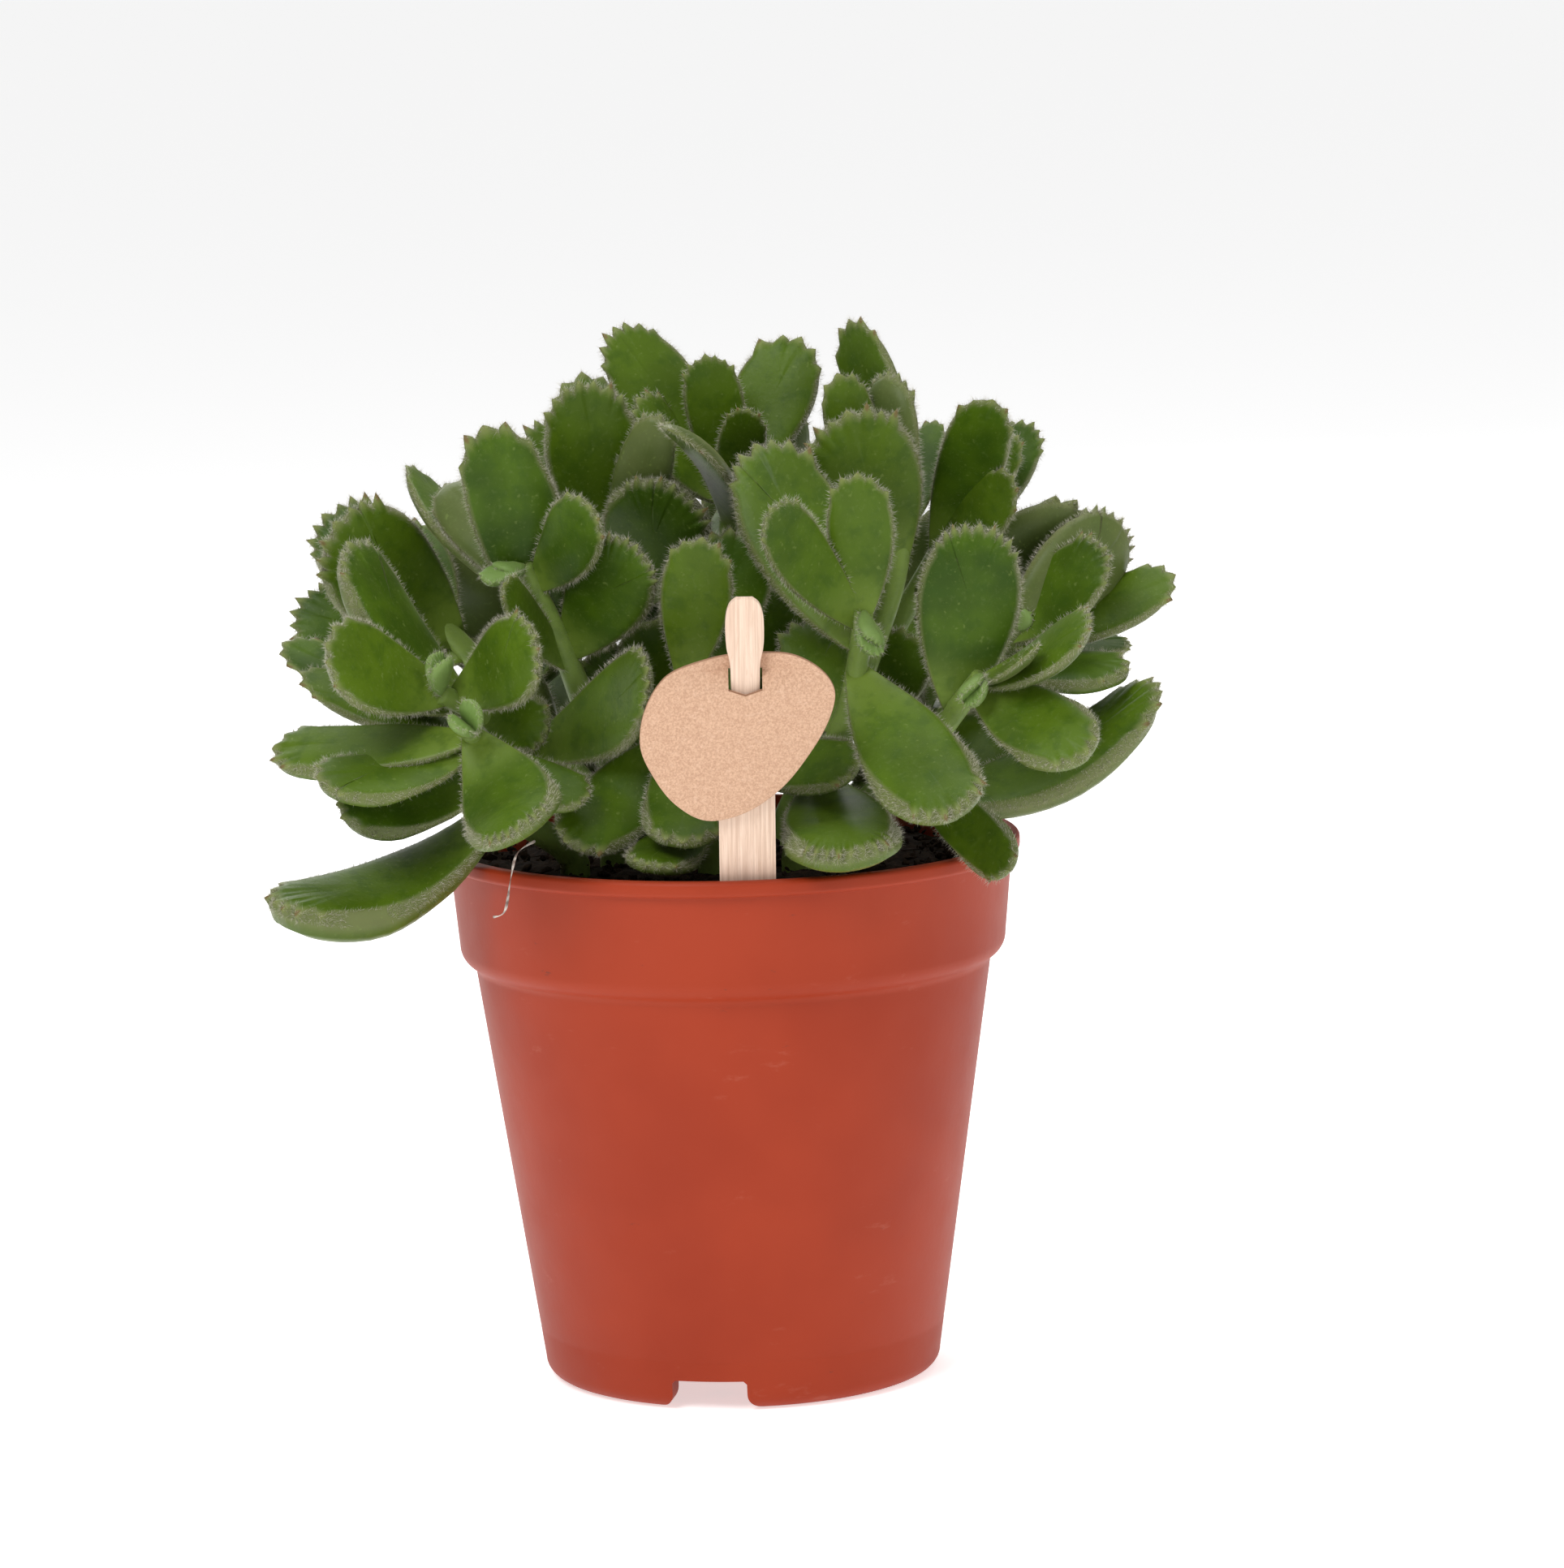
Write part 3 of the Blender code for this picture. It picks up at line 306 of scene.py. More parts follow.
SHOOTS = {
    "shoot_left_low": shoot(
        (-24, -12),
        [(-33, 88, 18), (-37, 97, 27), (-40, 101.5, 34)],
        ((-39, 106, 40), (-42.5, 102.5, 41)),
        leaf(0.50, (-73, 76.4, 42), 14, (-0.1, 1, 0.45), 0.18, thick=0.64),
        leaf(0.97, (-33.5, 86.5, 54), 15, (-0.35, 0.7, 0.8), 0.22),
        leaf(0.95, (-72, 100, 24), 12.4, (0.1, 0.8, 0.5), 0.06),
        leaf(0.90, (-65, 95.5, 38), 12, (0.1, 1, 0.6), 0.14),
        leaf(0.67, (-62, 91, 24), 13, (0, 0.9, 0.9), 0.14),
        leaf(0.86, (-20.8, 91, 34), 9, (0, 0.8, 0.6), 0.12),
    ),
    "shoot_left_mid": shoot(
        (-18, -4),
        [(-30, 96, 14), (-38, 104, 22), (-44.5, 107.5, 28)],
        ((-45.5, 114, 31), (-43.5, 113, 32)),
        leaf(0.96, (-61.5, 115.5, 40), 13, (0.25, 0.5, 0.9), 0.10),
        leaf(0.85, (-57.5, 131, 22), 15, (0.55, 0.73, 0.42), 0.10, thick=0.40),
        leaf(0.94, (-29.8, 116, 42), 12.5, (-0.1, 0.4, 1), 0.10),
        leaf(0.84, (-68.6, 116.2, 6), 8, (0, 0.8, 0.7), 0.08),
        leaf(0.70, (-66, 111.5, 14), 9, (0, 0.9, 0.5), 0.08),
        leaf(0.55, (-12.5, 110.5, 38), 13, (-0.2, 0.5, 0.9), 0.14),
        leaf(0.80, (-27.5, 101.5, 26), 9, (0, 0.2, 1)),
    ),
    "shoot_left_back": shoot(
        (-16, 8),
        [(-29, 100, -8), (-40, 114, -10), (-46, 121, -9)],
        ((-50, 127, -9), (-48, 128, -11)),
        leaf(0.86, (-59.5, 134, 4), 17.5, (0.2, 0.2, 1)),
        leaf(0.92, (-61.2, 135.4, -14), 15, (0.2, 0.3, 1)),
        leaf(0.80, (-66.6, 120.8, -12), 14, (0.2, 0.5, 1), 0.06),
        leaf(0.90, (-50.5, 134.2, -24), 11, (0.1, 0.4, 1)),
        leaf(0.72, (-52, 112, -34), 13, (-0.2, 1, -0.4), 0.12),
    ),
    "shoot_left_up": shoot(
        (-10, -6),
        [(-20, 100, 10), (-25.5, 115, 14), (-31, 127, 16)],
        ((-37, 124.5, 24), (-35, 126.5, 22)),
        leaf(0.64, (-36.3, 148.4, 18), 13, (0.05, 0.1, 1)),
        leaf(0.93, (-20.5, 136, 30), 10.5, (-0.2, 0.3, 1), 0.08),
        leaf(0.66, (-34, 124.5, 30), 7.5, (0.8, 0.3, 0.6)),
        leaf(0.70, (-13.5, 129.5, 26), 13.5, (-0.1, 0.2, 1), 0.06),
        leaf(0.88, (-42.5, 140, -2), 10, (-0.5, 0.2, -1)),
        leaf(0.90, (-47.3, 143, -14), 10, (0.7, 0.6, 0.5), 0.08),
    ),
    "shoot_mid_left": shoot(
        (-6, 2),
        [(-12, 105, -2), (-15, 122, -4), (-17, 131, -4)],
        ((-16.5, 140, -5), (-18, 139, -7)),
        leaf(0.90, (-21.5, 154.8, 4), 15, (0.05, 0.1, 1), 0.06),
        leaf(0.97, (-21, 156.4, -16), 12, (0.1, 0.3, 1)),
        leaf(0.94, (-28.3, 149.2, -10), 12, (0.3, 0.2, 1)),
        leaf(0.92, (-9, 150, 9), 8.5, (0.3, 0, -1)),
        leaf(0.78, (-7.5, 138.5, 12), 17.5, (0, 0.3, 1), 0.06),
        leaf(0.35, (-10, 118, 10), 13, (0, 0.2, 1)),
        leaf(0.30, (-21, 113, 8), 13, (0.1, 0.2, 1)),
    ),
    "shoot_mid_top": shoot(
        (3, 6),
        [(2, 110, -8), (1, 128, -8), (1.5, 139, -8)],
        (),
        leaf(0.99, (-15.8, 163.3, -16), 12, (0.1, 0.2, 1), 0.06),
        leaf(0.98, (-2, 159, -4), 9, (0, 0.1, 1)),
        leaf(0.99, (12.6, 161, -14), 12.5, (-0.3, 0.1, 1), 0.06),
        leaf(0.95, (-12.5, 152.5, 0), 10.5, (0.2, 0.9, 0.7), 0.10),
        leaf(0.86, (-8, 147.5, 20), 9, (-0.5, -0.1, 0.6), 0.08),
        leaf(0.95, (4.5, 150.5, 4), 7, (0, 0.1, 1), 0.04),
        leaf(0.93, (12.5, 150, -18), 10, (0, 0.4, -1)),
        leaf(0.45, (9.5, 122.5, 2), 12, (0, 0.2, 1)),
    ),
    "shoot_mid_front": shoot(
        (-3, -16),
        [(-5, 92, 20), (-6.5, 103, 24), (-6.5, 110, 25)],
        (),
        leaf(0.95, (-3.2, 130.5, 32), 11, (-0.15, 0.1, 1), 0.08),
        leaf(0.75, (-7.5, 83.5, 40), 13, (0, 0.8, 0.9), 0.20),
        leaf(0.72, (-26.5, 84, 46), 13, (0.25, 0.8, 0.8), 0.20),
        leaf(0.35, (-13.5, 80.5, 40), 11, (0, 0.9, 0.6), 0.16),
        leaf(0.90, (4, 131, 8), 13, (0, 0.1, 1)),
        leaf(0.62, (21.5, 95.5, 36), 10, (-0.1, 0.7, 0.8), 0.10),
    ),
    "shoot_right_front": shoot(
        (10, -14),
        [(14, 93, 22), (19, 104, 28), (21.5, 118.5, 32)],
        ((23.5, 113.5, 38), (22.5, 111.5, 38)),
        leaf(0.97, (21, 140, 36), 10, (-0.1, 0.1, 1), 0.06),
        leaf(0.95, (7.5, 135, 46), 9.5, (0.3, 0.2, 1), 0.10),
        leaf(0.88, (5.5, 144.5, 9), 15.5, (0.2, 0.3, 1), 0.08),
        leaf(0.80, (36.2, 86.8, 51), 15.5, (0.1, 0.5, 1), 0.10),
        leaf(0.55, (13.5, 117.5, 14), 13, (0, 0.2, 1)),
        leaf(0.36, (18.9, 80.8, 51), 17, (0, 1, 0.6), 0.08, thick=0.40),
    ),
    "shoot_right_top": shoot(
        (12, 0),
        [(20, 106, 2), (26, 122, 2), (28, 132, 1)],
        ((26, 140, 0), (28, 141, -2)),
        leaf(0.86, (19.8, 149, 21), 16.5, (0, 0.2, 1), 0.06),
        leaf(0.99, (20.2, 163.6, -8), 11, (-0.75, 0.1, 0.65), 0.06),
        leaf(0.97, (26.2, 155.5, 2), 11, (0.8, 0.2, -0.7)),
        leaf(0.97, (33.3, 148.3, -17), 6, (0, 0.3, 1)),
        leaf(0.90, (18.3, 155.5, 5), 9, (0.2, 0.2, 1)),
    ),
    "shoot_right_low": shoot(
        (18, -12),
        [(27, 92, 22), (34, 101, 31), (39.5, 108, 36)],
        ((38.5, 103.5, 42), (36.5, 105.5, 42)),
        leaf(0.82, (39.7, 131.2, 34), 14.5, (0.05, 0.1, 1), 0.06),
        leaf(0.97, (56.5, 116.5, 44), 10, (-0.2, 0.9, 0.5), 0.10),
        leaf(0.99, (48, 112.5, 46), 6, (0, 0.9, 0.6), 0.08),
        leaf(0.95, (56.5, 95.5, 50), 13, (0.1, 0.5, 1), 0.06),
        leaf(0.45, (43.6, 77, 43), 8.5, (-0.6, 0.4, 0.6), 0.12),
        leaf(0.34, (66.6, 106.4, 12), 14, (-0.35, 0.9, 0.45), 0.17, thick=0.50),
    ),
    "shoot_right_up": shoot(
        (8, 10),
        [(20, 106, -10), (30, 122, -8), (34, 129, -7)],
        ((36.5, 136, -7), (35, 137, -9)),
        leaf(0.95, (42, 150.8, 6), 10.5, (-0.1, 0.1, 1), 0.06),
        leaf(0.97, (48.3, 147.2, -16), 10, (-0.3, 0.2, 1)),
        leaf(0.94, (46, 145.5, -6), 7, (-0.5, 0.3, 0.8)),
        leaf(0.88, (45, 139, 8), 9, (-0.3, 0.3, 1), 0.06),
        leaf(0.80, (56.5, 132.8, -4), 13, (0, 0.6, -1)),
        leaf(0.35, (30, 114, 8), 12, (0, 0.2, 1)),
    ),
    "shoot_right_side": shoot(
        (17, 3),
        [(30, 97, 2), (39, 108, 4), (44, 115, 4)],
        ((47, 119, 6), (49, 118, 4)),
        leaf(0.97, (59, 127.5, 10), 12, (-0.1, 0.6, 0.8), 0.06),
        leaf(0.90, (61.5, 131.6, -6), 15, (-0.3, 0.4, -1)),
        leaf(0.95, (69.6, 123.2, 0), 10, (-0.1, 0.8, 0.6), 0.08),
        leaf(0.90, (62, 113.5, -12), 11, (0, 1, 0.2), 0.06),
        leaf(0.86, (63, 108.8, 12), 12.5, (0.1, 1, 0.4)),
        leaf(0.42, (47, 97.5, 14), 13, (0, 0.5, 1), 0.06),
    ),
}

# Shoots behind those: a seed, the foot (x, y), the top (x, y), its height over the soil, leaf pairs
BACK_SHOOTS = (
    (11, (-14, 20), (-34, 30), 30, 5),
    (12, (4, 24), (3, 40), 32, 5),
    (13, (18, 20), (36, 29), 30, 5),
    (14, (0, 14), (-8, 20), 54, 4),
)

BACK_BEND = (0.55, 0.5)
BACK_LEAVES_FROM = 0.30
BACK_LEAVES_OVER = 0.68
BACK_CLIMB = 18.0
BACK_CLIMB_MORE = 42.0
BACK_CLIMB_SPREAD = (-8, 12)
BACK_OUTWARD = 0.35
BACK_FACE_TILT = 0.5
BACK_LENGTH = (19, 25)
BACK_WIDTH = (11, 15)
BACK_BOW = 0.10
BACK_TEETH = 2


def unit(v):
    return v / np.linalg.norm(v)


def smooth(x):
    x = np.clip(x, 0.0, 1.0)
    return x * x * (3 - 2 * x)


def between(a, b, c, d, t):
    """The point at a share t of the way from b to c on a smooth curve through a, b, c and d."""
    bent = (2 * a - 5 * b + 4 * c - d) * t * t + (3 * b - a - 3 * c + d) * t**3
    return 0.5 * (2 * b + (c - a) * t + bent)


def smooth_line(corners, steps, closed=False):
    """A smooth curve through the corners."""
    corners = [np.array(p, float) for p in corners]
    last = len(corners) - 1
    found = []
    for k in range(last + closed):
        if closed:
            near = [corners[(k + i) % (last + 1)] for i in (-1, 0, 1, 2)]
        else:
            near = [corners[min(max(k + i, 0), last)] for i in (-1, 0, 1, 2)]
        found += [between(*near, i / steps) for i in range(steps)]
    return found if closed else found + [corners[-1]]


def stem_line(sh, steps=STEM_STEPS):
    """Points along a shoot's stem, from the bottom of its hole in the soil to its top."""
    foot = np.array((sh.foot[0], sh.foot[1], SOIL_LEVEL))
    corners = [foot - (0, 0, ROOT_DEPTH), foot + (0, 0, STEM_STUB), *sh.path]
    curve = []
    for k in range(1, len(corners) - 1):
        last = corners[min(k + 2, len(corners) - 1)]
        count = steps // (len(corners) - 2)
        curve += [between(*corners[k - 1 : k + 2], last, i / count) for i in range(count)]
    return [corners[0], *curve, corners[-1]]


def along(points, share):
    """The point at a share of the way along the part of the stem that is above the soil."""
    above = points[1:]
    steps = [np.linalg.norm(b - a) for a, b in zip(above, above[1:])]
    left = share * sum(steps)
    for step, a, b in zip(steps, above, above[1:]):
        if left <= step:
            return a + (b - a) * (left / step)
        left -= step
    return above[-1]


def grown(seed, foot, top, height, pairs):
    """A shoot that stands behind those seen from the front: leaf pairs, each across the one below."""
    rng = random.Random(seed)
    lean = np.array((top[0] - foot[0], top[1] - foot[1], 0.0))
    start = np.array((foot[0], foot[1], SOIL_LEVEL))
    path = [start + lean * BACK_BEND[0] + (0, 0, height * BACK_BEND[1]), start + lean + (0, 0, height)]
    made = Shoot(foot, path, [], ())
    line = stem_line(made)
    turn = rng.uniform(0, math.pi)
    for pair in range(pairs):
        at = BACK_LEAVES_FROM + BACK_LEAVES_OVER * pair / (pairs - 1)
        base = along(line, at)
        for half in (0, math.pi):
            a = turn + pair * math.pi / 2 + half
            climb = BACK_CLIMB + BACK_CLIMB_MORE * pair / pairs + rng.uniform(*BACK_CLIMB_SPREAD)
            climb = math.radians(climb)
            flat = np.array((math.cos(a), math.sin(a), 0.0))
            away = unit(flat * math.cos(climb) + (0, 0, math.sin(climb)) + unit(lean) * BACK_OUTWARD)
            face = np.array((0, 0, 1.0)) - flat * BACK_FACE_TILT
            tip = base + away * rng.uniform(*BACK_LENGTH)
            width = rng.uniform(*BACK_WIDTH)
            made.leaves.append(Leaf(at, tip, width, face, BACK_BOW, BACK_TEETH, LEAF_THICKNESS))
    return made


def bud_leaves(line, bud):
    """The smallest leaves at a stem's tip, folded face to face."""
    tips = [seen(*place) for place in bud]
    middle = np.mean(tips, axis=0)
    found = []
    for tip in tips:
        face = middle - tip + (0, 0, BUD_UPWARD)
        found.append((line[-1], Leaf(1, tip, BUD_WIDTH, face, BUD_BOW, FEW_TEETH, BUD_THICKNESS)))
    return found


def placed(name, sh):
    """The shoot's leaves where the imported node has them: of the swings a leaf may have had, the one
    whose end point is a corner of that node. A leaf that the node has no room for is left out."""
    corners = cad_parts[name].data.vertices
    tree = KDTree(len(corners))
    for k, corner in enumerate(corners):
        tree.insert(corner.co / MM, k)
    tree.balance()
    line = stem_line(sh)
    eye = np.array((0.0, -EYE_BACK, EYE_UP))
    found = []
    for one in sh.leaves:
        base = along(line, one.at)
        tries = []
        for step in SWINGS:
            tip = one.tip + unit(eye - one.tip) * step
            peak = tip + unit(tip - base) * TIP_RISE
            tries.append((tree.find(peak)[2], abs(step), tuple(tip)))
        away, _, tip = min(tries)
        if away < ROOM:
            found.append((base, one._replace(tip=np.array(tip))))
    return line, found


def margin_places(teeth, rng):
    """Places along one margin, from the stalk to the apex, each with its tooth's height from 0 to 1.
    A place under 0 is in the narrow part, and one from 0 to 90 degrees is round the blunt end."""
    rows = [(place, 0.0) for place in np.linspace(-1, 0, NARROW_STEPS, endpoint=False)]
    pitch = (90 - FIRST_TOOTH) / teeth
    start = FIRST_TOOTH - pitch / 2
    rows += [(place, 0.0) for place in np.linspace(0, start, BARE_STEPS, endpoint=False)]
    for k in range(teeth + 1):
        last = k == teeth
        peak = FIRST_TOOTH + pitch * (k + (0 if last else rng.uniform(-TOOTH_ASIDE, TOOTH_ASIDE)))
        height = 1 if last else 1 + rng.uniform(-TOOTH_UNEVEN, TOOTH_UNEVEN)
        steps = [step for step in TOOTH_STEPS if step <= 0] if last else TOOTH_STEPS
        rows += [(peak + pitch / 2 * t, (1 - abs(t)) * height) for t in steps]
    return np.array(rows)


def hangs(base, one):
    """Whether a leaf faces the viewer and hangs, so that its full lower side shows."""
    return one.face[1] < TOWARDS and one.tip[2] < base[2] + LEVEL


def leaf_surface(base, one, rng):
    """A fleshy leaf: points, faces, the loop that closes its stalk, and four numbers for each point:
    how near it is to the margin, its share of a tooth, 1 on the lower side, how far along it lies."""
    length = np.linalg.norm(one.tip - base)
    ahead = (one.tip - base) / length
    up = unit(one.face - ahead * np.dot(one.face, ahead))
    side = np.cross(ahead, up)
    half = one.width / 2
    end = (1 - WIDEST_AT) - APEX_SHORTER / length
    out = np.array([*TOP_LAYERS, *LOWER_LAYERS])[None, :]
    under = np.array([0.0] * len(TOP_LAYERS) + [1.0] * len(LOWER_LAYERS))[None, :]
    deep = (1 - out**DEPTH_SPREAD) ** DEPTH_ROUND
    hanging = hangs(base, one)
    puff = PUFF + PUFF_MORE * (one.thick - LEAF_THICKNESS) + HANGING_PUFF * hanging
    puff = puff * half * 4 * deep * (1 - deep) * under
    inner = TOOTH_ROOT + (TOOTH_ROOT_UNDER - TOOTH_ROOT) * under
    root = smooth((out - inner) / (1 - inner))
    thick = one.width * one.thick
    turn = math.radians(rng.uniform(-TWIST, TWIST))
    round_end = 2 / rng.uniform(*BLUNTNESS)
    teeth = one.teeth + (rng.random() < MORE_TEETH)
    phase = rng.uniform(0, 2 * math.pi)
    points, marks = [], []
    for sign in (-1, 1):
        place, tooth = margin_places(teeth, rng).T
        narrow = place < 0
        angle = np.radians(np.clip(place, 0, 90))
        cosine, sine = np.clip(np.cos(angle), 0, 1), np.sin(angle)
        back = np.clip(-place, 0, 1)
        far = np.where(narrow, WIDEST_AT * (1 + place), WIDEST_AT + end * sine**round_end)
        wide = np.where(narrow, 1 - (1 - STALK_SHARE) * back**FULLNESS, cosine**round_end)
        inset = 1 - HANGING_INSET * hanging * smooth((far - INSET_FROM) / INSET_OVER)
        far = np.where(narrow, far, WIDEST_AT + (far - WIDEST_AT) * inset)
        wide = wide * inset
        thin = np.where(narrow, 1 + STALK_THINNING * place, 1.0)
        full = EDGE_THICKNESS + (1 - EDGE_THICKNESS) * smooth(wide)
        lip = thick * MARGIN_HEIGHT * thin * full + HOLLOW * half * wide**2
        middle_far = np.where(narrow, far, WIDEST_AT)[:, None]
        middle_wide = np.where(narrow, wide, 1.0)[:, None]
        middle_lip = np.where(narrow, lip, thick * MARGIN_HEIGHT + HOLLOW * half)[:, None]
        depth = thick * LEAF_DEPTH * thin[:, None] * np.minimum(1, middle_wide + EDGE_THICKNESS)
        s = middle_far + (far[:, None] - middle_far) * out
        z = middle_lip + (lip[:, None] - middle_lip) * out**2
        z = z + (1 - under) * PILLOW * one.width * middle_wide * (1 - out**PILLOW_SPREAD) ** 0.5
        z = z - under * depth * deep
        uneven = 1 + sign * rng.uniform(-UNEVEN, UNEVEN)
        reach = TOOTH_HEIGHT * one.width / TYPICAL_WIDTH
        push = np.array([sine + TOOTH_FORWARD, cosine])
        push = push / np.linalg.norm(push, axis=0) * tooth * reach
        sx = sign * (wide[:, None] * out * half * uneven + push[1][:, None] * root)
        beyond = puff * smooth((far - INSET_FROM) / INSET_OVER)[:, None] if hanging else puff
        sx = sx + sign * beyond * cosine[:, None] * np.where(narrow, wide, 1)[:, None]
        sy = s * length + push[0][:, None] * root + beyond * sine[:, None]
        wave = WAVE * half * np.sin(phase + sign * WAVE_APART + s * WAVE_TURNS) * out**2
        height = z + wave - one.bow * length * 4 * s * (1 - s)
        tilt = turn * s
        height = height + sx * np.sin(tilt)
        sx = sx * np.cos(tilt)
        points.append(base + sy[..., None] * ahead + sx[..., None] * side + height[..., None] * up)
        marks.append(np.stack([out + 0 * s, tooth[:, None] * root, under + 0 * s, s], axis=-1))
    points = np.concatenate([points[0], points[1][::-1][1:]])
    marks = np.concatenate([marks[0], marks[1][::-1][1:]])
    rows, columns = points.shape[:2]
    index = np.arange(rows * columns).reshape(rows, columns)
    faces = np.stack([index[:-1, :-1], index[1:, :-1], index[1:, 1:], index[:-1, 1:]], axis=-1)
    loop = [*index[0], *index[-1][::-1][1:-1]]
    return points.reshape(-1, 3), faces.reshape(-1, 4), loop, marks.reshape(-1, 4)


def welded(points, faces, loop, marks):
    """The same surface with the points that meet made one, as plain lists."""
    rounded = np.round(points, WELD_DIGITS)
    _, first, inverse = np.unique(rounded, axis=0, return_index=True, return_inverse=True)
    inverse = inverse.reshape(-1)
    kept = []
    for face in [*inverse[faces].tolist(), inverse[loop].tolist()]:
        corners = list(dict.fromkeys(face))
        if len(corners) > 2:
            kept.append(corners)
    return points[first], kept, marks[first]


def band(first, second, sides):
    """Faces between two rings of points, given the number of each ring's first point."""
    found = []
    for k in range(sides):
        after = (k + 1) % sides
        found.append((first + k, first + after, second + after, second + k))
    return found


def tube(line, radii, sides=STEM_SIDES):
    """Points and faces of a round tube along a line, closed at both ends."""
    points, faces = [], []
    across = unit(np.cross(line[1] - line[0], ASIDE))
    for k, p in enumerate(line):
        ahead = unit(line[min(k + 1, len(line) - 1)] - line[max(k - 1, 0)])
        across = unit(across - ahead * np.dot(across, ahead))
        other = np.cross(ahead, across)
        for i in range(sides):
            a = 2 * math.pi * i / sides
            points.append(p + (across * math.cos(a) + other * math.sin(a)) * radii[k])
    for k in range(len(line) - 1):
        faces += band(k * sides, (k + 1) * sides, sides)
    faces.append(tuple(range(sides)))
    faces.append(tuple(range((len(line) - 1) * sides, len(line) * sides)))
    return np.array(points), faces


def mesh_object(name, points, faces, outward=True):
    mesh = bpy.data.meshes.new(name)
    mesh.from_pydata((np.asarray(points, float) * MM).tolist(), [], faces)
    made = bpy.data.objects.new(name, mesh)
    bpy.context.scene.collection.objects.link(made)
    if outward:
        bm = bmesh.new()
        bm.from_mesh(mesh)
        bmesh.ops.recalc_face_normals(bm, faces=bm.faces)
        if bm.calc_volume(signed=True) < 0:
            bmesh.ops.reverse_faces(bm, faces=bm.faces)
        bm.to_mesh(mesh)
        bm.free()
    mesh.shade_smooth()
    return made


def give(made, name, values):
    """Keeps four numbers for each of a mesh's points, for its material to read."""
    kept = made.data.attributes.new(name, "FLOAT_COLOR", "POINT")
    kept.data.foreach_set("color", np.asarray(values, np.float32).ravel())


def stem_surface(line):
    low, high = STEM_RADIUS
    radii = [low + (high - low) * k / (len(line) - 1) for k in range(len(line))]
    return tube(line, radii)


def make_shoot(name, sh, green, white):
    """One leafy stem: its stem, leaves and bud in one mesh, and the down on them in another."""
    rng = random.Random(name)
    line, leaves = placed(name, sh)
    grown_leaves = len(leaves)
    if sh.bud:
        leaves = leaves + bud_leaves(line, sh.bud)
    points, faces = stem_surface(stem_line(sh, STEM_FINE_STEPS))
    all_points, all_faces = [points], list(faces)
    marks = [np.tile((STEM_OUT, 0.0, 0.0, 0.0), (len(points), 1))]
    tints = [np.tile(STEM_TINT, (len(points), 1))]
    count = len(points)
    for number, (base, one) in enumerate(leaves):
        points, faces, mark = welded(*leaf_surface(base, one, rng))
        all_points.append(points)
        all_faces += [[corner + count for corner in face] for face in faces]
        marks.append(mark)
        is_bud = 1.0 if number >= grown_leaves else 0.0
        tints.append(np.tile((rng.random(), is_bud, float(hangs(base, one)), 1.0), (len(points), 1)))
        count += len(points)
    made = mesh_object(name + "_leaves", np.concatenate(all_points), all_faces)
    marks = np.concatenate(marks)
    give(made, "form", marks)
    give(made, "tint", np.concatenate(tints))
    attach(made, "root")
    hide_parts(name)
    made.data.materials.append(green)
    down = make_down(name + "_down", made, marks[:, 0])
    down.data.materials.append(white)
    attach(down, "root")


def kept_numbers(source, name, width, kind):
    """What a mesh keeps under a name for each of its items, as rows of numbers."""
    values = np.empty(len(source) * width, kind)
    source.foreach_get(name, values)
    return values.reshape(-1, width)


def make_down(name, made, rim):
    """Short hairs, each a thin spike, spread evenly over a mesh and more thickly along its margins."""
    rng = np.random.default_rng(sum(name.encode()))
    mesh = made.data
    mesh.calc_loop_triangles()
    corners = kept_numbers(mesh.loop_triangles, "vertices", 3, np.int32)
    places = kept_numbers(mesh.vertices, "co", 3, np.float32) / MM
    normals = kept_numbers(mesh.vertex_normals, "vector", 3, np.float32)
    a, b, c = (places[corners[:, k]] for k in range(3))
    area = np.linalg.norm(np.cross(b - a, c - a), axis=1) / 2
    area = area * (places[corners[:, 0], 2] > SOIL_LEVEL)
    near = smooth((rim[corners].mean(axis=1) - RIM_FROM) / (1 - RIM_FROM))
    wanted = area * (FACE_HAIRS + (RIM_HAIRS - FACE_HAIRS) * near)
    count = int(wanted.sum())
    chosen = rng.choice(len(corners), count, p=wanted / wanted.sum())
    shares = rng.dirichlet((1, 1, 1), count)[:, :, None]
    where = (places[corners[chosen]] * shares).sum(axis=1)
    lean = (normals[corners[chosen]] * shares).sum(axis=1)
    lean = lean / (np.linalg.norm(lean, axis=1)[:, None] + TINY) + rng.normal(0, HAIR_LEAN, (count, 3))
    lean /= np.linalg.norm(lean, axis=1)[:, None]
    near = near[chosen][:, None]
    spread = 1 + HAIR_UNEVEN * rng.uniform(-1, 1, (count, 1))
    length = (FACE_HAIR[0] + (RIM_HAIR[0] - FACE_HAIR[0]) * near) * spread
    radius = FACE_HAIR[1] + (RIM_HAIR[1] - FACE_HAIR[1]) * near
    across = np.cross(lean, rng.normal(0, 1, (count, 3)))
    across /= np.linalg.norm(across, axis=1)[:, None]
    other = np.cross(lean, across)
    spike = [where + lean * length]
    for turn in np.radians((0, 120, 240)):
        spike.append(where + (across * math.cos(turn) + other * math.sin(turn)) * radius)
    points = np.stack(spike, axis=1).reshape(-1, 3)
    start = np.arange(count)[:, None, None] * 4
    faces = (start + np.array([(1, 2, 0), (2, 3, 0), (3, 1, 0), (1, 3, 2)])).reshape(-1, 3)
    down = mesh_object(name, points, faces.tolist(), outward=False)
    give(down, "form", np.repeat(np.tile(near, (1, 4)), 4, axis=0))
    return down


